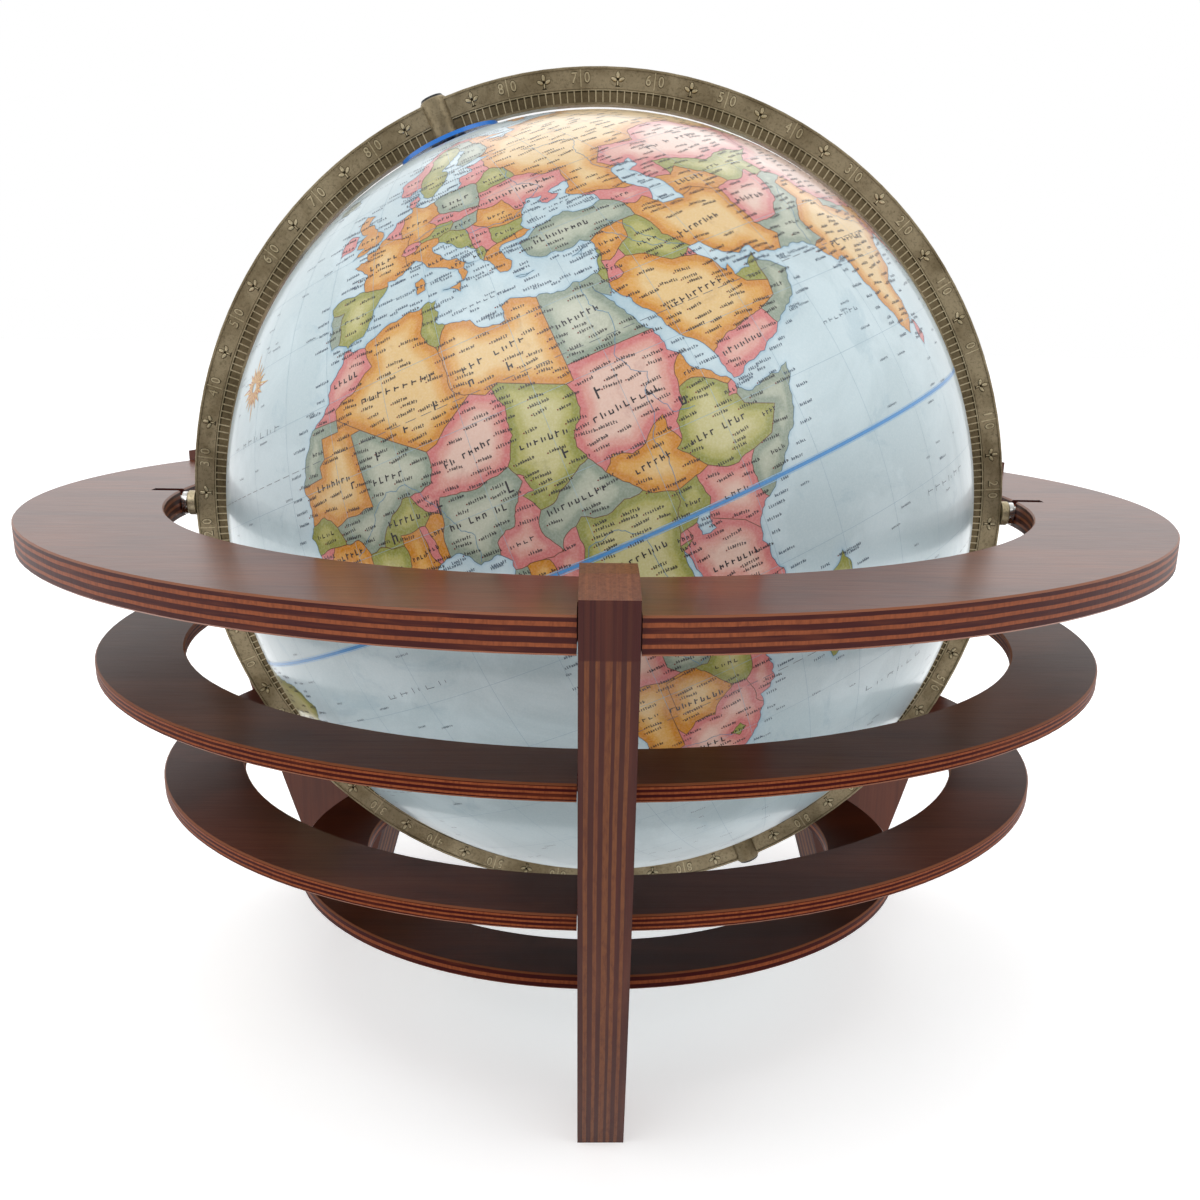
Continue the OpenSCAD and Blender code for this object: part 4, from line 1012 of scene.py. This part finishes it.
def bar(verts, faces, theta, r0, r1, width, side, height=0.32, top=0.7):
    """A raised bar with sloping sides along the radius."""
    k = len(verts)
    for rr in (r0, r1):
        for du, h in ((-width / 2, -0.05), (-width / 2 * top, height), (width / 2 * top, height), (width / 2, -0.05)):
            verts.append(ring_place(theta, rr, side, du, h))
    for a, b in ((0, 1), (1, 2), (2, 3)):
        faces.append((k + a, k + b, k + 4 + b, k + 4 + a))
    faces.append((k, k + 3, k + 2, k + 1))
    faces.append((k + 4, k + 5, k + 6, k + 7))


def meridian_scale(side, tag):
    verts, faces = [], []
    for d in range(360):
        th = MID + math.radians(d)
        m = (d % 180)
        pole = min(abs(m - 90), 90) * math.radians(1) * 162
        if pole < 6.0:
            continue
        if d % 10 == 0:
            bar(verts, faces, th, 156.9, 168.7, 0.52, side, 0.38)
        elif d % 5 == 0:
            bar(verts, faces, th, 156.9, 161.4, 0.56, side, 0.42)
        else:
            bar(verts, faces, th, 156.9, 161.0, 0.56, side, 0.42)
    # the inner rail of the scale ladder
    n = 720
    for q in range(n):
        t0, t1 = 2 * math.pi * q / n, 2 * math.pi * (q + 1) / n
        k = len(verts)
        for th in (t0, t1):
            for rr, h in ((161.0, -0.05), (161.1, 0.30), (161.35, 0.30), (161.45, -0.05)):
                verts.append(ring_place(th, rr, side, 0, h))
        for a, b in ((0, 1), (1, 2), (2, 3)):
            faces.append((k + a, k + b, k + 4 + b, k + 4 + a))
    o = mesh_object("meridian_ticks_" + tag, verts, faces, [BRASS_HI], "meridian", False)
    # darker patina held in the recess between the ticks; the darkest strip, along the rail, is painted shade
    for part, r0, r1, mat in (("recess", 156.9, 160.5, BRASS_LO), ("shade", 160.5, 161.0, BRASS_SH)):
        verts, faces = [], []
        for q in range(n):
            t0, t1 = 2 * math.pi * q / n, 2 * math.pi * (q + 1) / n
            k = len(verts)
            for th, rr in ((t0, r0), (t0, r1), (t1, r1), (t1, r0)):
                verts.append(ring_place(th, rr, side, 0, 0.03))
            faces.append((k, k + 1, k + 2, k + 3))
        o = mesh_object("meridian_" + part + "_" + tag, verts, faces, [mat], "meridian", False)


def glyph_mesh(ch, size, depth):
    """A numeral of the built-in face as a solid: list of points and faces, centred, in millimetres."""
    cu = bpy.data.curves.new("glyph", "FONT")
    cu.body = ch
    cu.size = size
    cu.extrude = depth
    cu.bevel_depth = 0.05
    cu.bevel_resolution = 0
    cu.resolution_u = 3
    cu.align_x = "CENTER"
    cu.align_y = "CENTER"
    o = bpy.data.objects.new("glyph", cu)
    coll.objects.link(o)
    dg = bpy.context.evaluated_depsgraph_get()
    me = bpy.data.meshes.new_from_object(o.evaluated_get(dg))
    pts = [tuple(v.co) for v in me.vertices]
    fcs = [tuple(p.vertices) for p in me.polygons]
    bpy.data.objects.remove(o)
    bpy.data.curves.remove(cu)
    bpy.data.meshes.remove(me)
    return pts, fcs


GLYPHS = {c: glyph_mesh(c, 5.6, 0.2) for c in "0123456789"}


def meridian_numbers(side, tag, mat, name, grow, squash):
    verts, faces = [], []
    for d in range(0, 360, 10):
        val = d % 360
        val = val if val <= 90 else (180 - val if val <= 270 else val - 360)
        label = str(abs(val))
        if abs(val) == 90:
            continue
        th = MID + math.radians(d)
        label = label if len(label) == 2 else "0"
        spots = [(-2.5, label[0]), (2.5, label[1])] if len(label) == 2 else [(0.0, "0")]
        if label == "0":
            spots = [(-2.5, "0")]
        for off, ch in spots:
            pts, fcs = GLYPHS[ch]
            k = len(verts)
            for x, y, z in pts:
                # reading clockwise with tops outwards, seen from either face
                du = -(off + x * 0.86 * grow)
                verts.append(ring_place(th, 165.55 + y * 0.98 * grow, side, du, (z + 0.12) * squash))
            faces += [tuple(k + i for i in f) for f in fcs]
    o = mesh_object(name + tag, verts, faces, [mat], "meridian", False)


def blob(verts, faces, th, side, du, dr, ru, rr, turn=0.0, n=14, h=0.30):
    """A small raised oval, its long way turned by turn."""
    k = len(verts)
    for ring, (f, hh) in enumerate(((1.0, -0.05), (0.82, h * 0.75), (0.45, h))):
        for i in range(n):
            a = 2 * math.pi * i / n
            x, y = ru * f * math.cos(a), rr * f * math.sin(a)
            u, v = x * math.cos(turn) - y * math.sin(turn), x * math.sin(turn) + y * math.cos(turn)
            verts.append(ring_place(th, 165.3 + dr + v, side, -(du + u), hh))
    for ring in range(2):
        for i in range(n):
            j = (i + 1) % n
            faces.append((k + ring * n + i, k + ring * n + j, k + (ring + 1) * n + j, k + (ring + 1) * n + i))
    faces.append(tuple(k + 2 * n + i for i in range(n)))


def meridian_trefoils(side, tag, mat, name, g, h):
    verts, faces = [], []
    for d in range(5, 360, 10):
        th = MID + math.radians(d)
        blob(verts, faces, th, side, 0, 1.5, 0.75 + g, 1.35 + g, 0.0, 14, h)
        blob(verts, faces, th, side, -1.5, -0.1, 0.7 + g, 1.3 + g, 1.05, 14, h)
        blob(verts, faces, th, side, 1.5, -0.1, 0.7 + g, 1.3 + g, -1.05, 14, h)
        blob(verts, faces, th, side, 0, -1.5, 0.32 + g, 1.1 + g, 0.0, 14, h)
        blob(verts, faces, th, side, 0, -2.55, 1.0, 0.30)
        blob(verts, faces, th, side, 0, 0.0, 0.5, 0.5)
    o = mesh_object(name + tag, verts, faces, [mat], "meridian", True)


for side, tag in ((1, "front"), (-1, "back")):
    meridian_scale(side, tag)
    meridian_numbers(side, tag, BRASS_HI, "meridian_numbers_", 1.0, 1.0)
    meridian_numbers(side, tag, BRASS_SH, "meridian_number_shade_", 1.14, 0.16)
    meridian_trefoils(side, tag, BRASS_HI, "meridian_trefoils_", 0.0, 0.36)
    meridian_trefoils(side, tag, BRASS_SH, "meridian_trefoil_shade_", 0.26, 0.05)


# ---------------------------------------------------------------- hour dial: ticks and numerals printed in white
def dial_marks():
    verts, faces = [], []
    rd = 0.1551 + 0.00006
    top = 0.02

    def spot(u, v):
        """u, v in millimetres on the dial, seen from above the pole."""
        w = Vector((u / 1000, v / 1000, 0))
        w.z = math.sqrt(max(0.0, rd * rd - w.x ** 2 - w.y ** 2))
        return POLAR @ w + CENTRE

    for h in range(24):
        a = 2 * math.pi * h / 24
        r0, r1 = (16.6, 19.6) if h % 2 == 0 else (18.0, 19.6)
        k = len(verts)
        wd = 0.22
        c, s = math.cos(a), math.sin(a)
        for rr, t in ((r0, -wd), (r0, wd), (r1, wd), (r1, -wd)):
            verts.append(spot(rr * c - t * s, rr * s + t * c))
        faces.append((k, k + 3, k + 2, k + 1))
    n = 96
    for r0, r1 in ((19.75, 20.15), (9.2, 9.5)):
        for i in range(n):
            k = len(verts)
            a0, a1 = 2 * math.pi * i / n, 2 * math.pi * (i + 1) / n
            for rr, a in ((r0, a0), (r1, a0), (r1, a1), (r0, a1)):
                verts.append(spot(rr * math.cos(a), rr * math.sin(a)))
            faces.append((k, k + 1, k + 2, k + 3))
    for h in range(12):
        a = math.pi / 2 - 2 * math.pi * (h + 1) / 12
        txt = str(h + 1)
        for i, ch in enumerate(txt):
            pts, fcs = GLYPHS[ch]
            off = (i - (len(txt) - 1) / 2) * 2.1
            k = len(verts)
            c, s = math.cos(a - math.pi / 2), math.sin(a - math.pi / 2)
            for x, y, z in pts:
                px, py = off + x * 0.62, 13.6 + y * 0.62
                q = spot(px * c - py * s, px * s + py * c)
                out = (q - CENTRE).normalized()
                verts.append(q + out * ((z + 0.25) * 0.00012))
            faces += [tuple(k + j for j in f) for f in fcs]
    o = mesh_object("dial_marks", verts, faces, [DIAL_INK], "dial", False)


DIAL_INK = ink("dial_ink", lin(236, 240, 244), 0.4)
dial_marks()

# ---------------------------------------------------------------- lettering as unreadable strokes, rivers, a plain star
def tangent(lon, lat):
    p = unit(lon, lat)
    east = Vector((-math.sin(math.radians(lon)), math.cos(math.radians(lon)), 0))
    return p, east, p.cross(east)


SPIN_M = Matrix.Rotation(SPIN, 3, "Z")


def place(p, east, north, u, v, r):
    q = (p + east * (u / 152.4) + north * (v / 152.4)).normalized()
    return POLAR @ (SPIN_M @ q) * r + CENTRE


def quad(verts, faces, frame3, x0, y0, x1, y1, r, slant=0.0):
    k = len(verts)
    for x, y in ((x0, y0), (x1, y0), (x1 + slant, y1), (x0 + slant, y1)):
        verts.append(place(*frame3, x, y, r))
    faces.append((k, k + 1, k + 2, k + 3))


def strokes(verts, faces, lon, lat, n, h, gap, w, rng, turn=0.0, r=R_LINE + 0.00003):
    """A row of n marks h millimetres high that look like small print and spell nothing."""
    p, e, nn = tangent(lon, lat)
    e2 = e * math.cos(turn) + nn * math.sin(turn)
    n2 = nn * math.cos(turn) - e * math.sin(turn)
    fr = (p, e2, n2)
    x = -n * gap / 2
    for i in range(n):
        if n > 8 and rng.random() < 0.12:
            x += gap
            continue
        tall = h * rng.choice((1.0, 1.0, 0.72, 0.78))
        quad(verts, faces, fr, x, 0, x + w, tall, r)
        k = rng.random()
        if k < 0.45:
            quad(verts, faces, fr, x + gap * 0.42, h * 0.14, x + gap * 0.42 + w, h * 0.62, r)
        if k > 0.25:
            y = h * rng.choice((0.0, 0.36, 0.6))
            quad(verts, faces, fr, x + w, y, x + gap * 0.55, y + w * 0.9, r)
        x += gap


def land_finder():
    me = MAP.data
    n = len(me.polygons)
    cen = np.zeros(n * 3)
    me.polygons.foreach_get("center", cen)
    mi = np.zeros(n, np.int32)
    me.polygons.foreach_get("material_index", mi)
    t = KDTree(n)
    cen = cen.reshape(-1, 3)
    for i, c in enumerate(cen):
        t.insert(Vector(c), i)
    t.balance()
    return lambda lon, lat: int(mi[t.find(on_ball(lon, lat))[1]])


def lettering():
    rng = random.Random(23)
    kind = land_finder()
    small, small_f, big, big_f, sea, sea_f, dots, dots_f = ([] for _ in range(8))
    seeds = [tuple(float(c) for c in s.split(",")[:2]) for s in SEEDS.split() if s[-1] in "opyg"]
    for lon, lat in seeds:
        k = kind(lon, lat)
        if k in (0, 5):
            continue
        ext = 1
        while ext < 14 and kind(lon + ext, lat) == k and kind(lon - ext, lat) == k:
            ext += 1
        wide = 2 * (ext - 0.6) * 2.66 * math.cos(math.radians(lat))
        if wide < 5:
            n = 4
        else:
            n = int(min(9, max(4, wide / 2.9)))
        gap = min(3.3, max(1.45, wide * 0.74 / n))
        strokes(big, big_f, lon, lat - 0.3, n, 2.1 if wide > 14 else 1.4, gap, 0.42 if wide > 14 else 0.30, rng, rng.uniform(-0.1, 0.1))
    done = []
    tries = 0
    while len(done) < 2600 and tries < 22000:
        tries += 1
        lat = math.degrees(math.asin(rng.uniform(-0.93, 0.96)))
        lon = rng.uniform(-180, 180)
        if kind(lon, lat) in (0, 5):
            continue
        c = math.cos(math.radians(lat))
        if any(abs(lat - b) < 0.62 and abs((lon - a) * c) < 2.7 for a, b in done):
            continue
        if any(abs(lat - b) < 1.1 and abs((lon - a) * c) < 3.6 for a, b in seeds):
            continue
        done.append((lon, lat))
        n = rng.randint(5, 8)
        strokes(small, small_f, lon, lat, n, 1.12, 0.82, 0.25, rng, rng.uniform(-0.12, 0.12))
        pp, e, nn = tangent(lon, lat)
        u = -n * 0.41 - 0.6
        kk = len(dots)
        for i in range(8):
            a = 2 * math.pi * i / 8
            dots.append(place(pp, e, nn, u + 0.26 * math.cos(a), 0.4 + 0.26 * math.sin(a), R_LINE + 0.00003))
        dots_f.append(tuple(kk + i for i in range(8)))
    # ports, written out into the sea
    for line in COAST_LINES:
        for i in range(3, len(line) - 1, 4):
            lon, lat = line[i]
            if abs(lat) > 75 or abs(lon) > 178:
                continue
            a, b = line[i - 1], line[i + 1]
            nx, ny = b[1] - a[1], -(b[0] - a[0])
            ln = math.hypot(nx, ny) or 1
            for s in (1, -1):
                q = (lon + s * nx / ln * 2.1, lat + s * ny / ln * 1.0)
                if kind(*q) == 0 and kind(lon + s * nx / ln * 3.0, lat + s * ny / ln * 1.5) == 0:
                    strokes(sea, sea_f, q[0], q[1], rng.randint(4, 8), 1.05, 0.8, 0.23, rng)
                    break
    # names of seas: wide spaced marks; soundings and notes: faint small ones
    for lon, lat, n, g, h in ((-28, 30, 6, 5.5, 2.2), (-10, -8, 5, 6.0, 2.2), (-22, -20, 8, 5.2, 2.2), (64, 14, 7, 3.0, 1.4), (75, -12, 6, 6.0, 2.2), (90, 14, 6, 3.0, 1.3), (18.5, 34, 7, 2.4, 1.0), (35, 43.4, 5, 2.0, 0.9), (-140, 10, 7, 6.5, 2.2), (-120, -25, 7, 6.5, 2.2), (-45, 45, 7, 5.0, 2.0), (150, 25, 6, 6.0, 2.2), (160, -30, 6, 4.0, 1.6), (60, -35, 6, 6.0, 2.2), (100, -35, 6, 6.0, 2.2), (-30, -45, 8, 5.0, 2.0)):
        strokes(sea, sea_f, lon, lat, n, h, g, 0.22, rng, 0.0)
    # the continent's and desert's names, wide apart
    for lon, lat in ((-7.5, 18.5), (-2.5, 20.5), (2.5, 22.3), (7.5, 23.4), (13.0, 24.3), (18.5, 24.2)):
        strokes(big, big_f, lon, lat, 1, 3.0, 3.0, 0.5, rng)
    for lon, lat in ((-3.5, 10.3), (4.0, 11.5), (13.2, 10.8), (21.0, 12.0), (27.5, 16.8), (36.5, 12.2)):
        strokes(big, big_f, lon, lat, 1, 3.9, 3.4, 0.6, rng)
    for _ in range(700):
        lat = math.degrees(math.asin(rng.uniform(-0.9, 0.9)))
        lon = rng.uniform(-178, 178)
        if kind(lon, lat) == 0 and kind(lon + 2, lat) == 0 and kind(lon - 2, lat) == 0:
            strokes(sea, sea_f, lon, lat, rng.randint(3, 8), 0.85, 0.72, 0.16, rng)
    for name, v, f, m in (("map_print_small", small, small_f, INK), ("map_print_large", big, big_f, INK), ("map_print_sea", sea, sea_f, INK_SEA), ("map_town_dots", dots, dots_f, INK_DOT)):
        o = mesh_object(name, v, f, [m])
        sphere_normals(o)
        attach(o, "globe")


INK_SEA = ink("ink_sea", lin(70, 88, 108))
INK_DOT = ink("ink_town", lin(120, 40, 36))
INK_RIVER = ink("ink_river", lin(96, 140, 170))
lettering()

RIVERS = """
31.2,31 31,28 32.8,26 32.6,24 31,21 32,18.5 33.8,17.5 32.5,15.6 32,12 31,9.5 31.5,5 31.5,2
32.5,15.6 34.5,12 37.3,11.6
12.4,-6 15.3,-4.3 17,-1 19,1.5 23,2 25.5,.5 26,-4 27,-8
6.2,4.6 6.7,7.8 4.5,10.5 3,13 0,16.5 -3,16.5 -6,13.5 -10,10.5
36,-18.8 33,-16.2 29,-15.8 26,-17.8 23.3,-15 24,-12
16.6,-28.6 20,-28.7 24,-29 27,-30
48,30.5 46,31.5 44,33.5 42,36.5 40,38
46,31.2 43.5,32 41,34.5 38.5,36.5
29.5,45.2 27,44 22.5,44.6 19,45 18.5,48 13,48.6 9,48
48,46 46,48.5 46,52 49,55.8 44,56.5 38,57.5
90,22.5 88,24.5 84,25.6 80,26.8 78.2,29.5
67.8,24.2 68.5,27.5 71,30.5 73,33.8
121.8,31.4 117,30.8 112,30 106.5,29.6 101,26.5 98,31 94,34
118.5,37.5 114,35 110.5,35 110,40 105,38 100,35
31.5,46.5 34.5,48 31,50 31,55
68,68 66,62 69,59 74,56 80,52
84,72 88,66 91,60 93,52
127,72 126,64 120,60 106,55
-50,-1 -55,-2.2 -60,-3.2 -66,-3.5 -72,-3.8 -75,-8
-58.3,-34 -60,-30 -58.5,-27.3 -54.6,-25 -51,-20
-89.5,29.3 -91,33 -89.3,37 -91,41 -94,46
-89.2,37 -94,39 -98,43 -104,48 -111,47
-134.5,68.8 -128,65 -120,61 -114,61
-114.7,32 -114,36 -110,38 -106,40
"""
ribbons("map_rivers", [roughen(p, 0.14, RNG, 0.6) for _, p in lines_of(RIVERS)], 0.2, R_LINE, INK_RIVER)


def star(lon, lat, size, rays):
    """A plain many-rayed star for the open ocean."""
    p, e, n = tangent(lon, lat)
    v, f, mi = [], [], []
    for i in range(rays):
        a = 2 * math.pi * i / rays
        ln = size * (1.0 if i % (rays // 4) == 0 else 0.72 if i % 2 == 0 else 0.5)
        wd = size * 0.1
        k = len(v)
        for rr, t in ((size * 0.13, 0.0), (size * 0.24, wd), (ln, 0.0), (size * 0.24, -wd)):
            v.append(place(p, e, n, rr * math.cos(a) - t * math.sin(a), rr * math.sin(a) + t * math.cos(a), R_LINE + 0.00004))
        f += [(k, k + 2, k + 1), (k, k + 3, k + 2)]
        mi += [0, 1]
    o = mesh_object("map_star", v, f, [INK_GOLD, INK_RUST])
    o.data.polygons.foreach_set("material_index", mi)
    sphere_normals(o)
    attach(o, "globe")


INK_GOLD = ink("ink_gold", lin(214, 176, 92))
INK_RUST = ink("ink_rust", lin(176, 104, 62))
star(-33, 38, 13.0, 32)

# ---------------------------------------------------------------- bounds of the scene before and after dressing
bpy.context.view_layer.update()
size_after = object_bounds()


def plain(v):
    if isinstance(v, dict):
        return {str(k): plain(x) for k, x in v.items()}
    if isinstance(v, (int, float)):
        return float(v)
    return [plain(x) for x in v]


{"before": plain(size_before), "after": plain(size_after)}
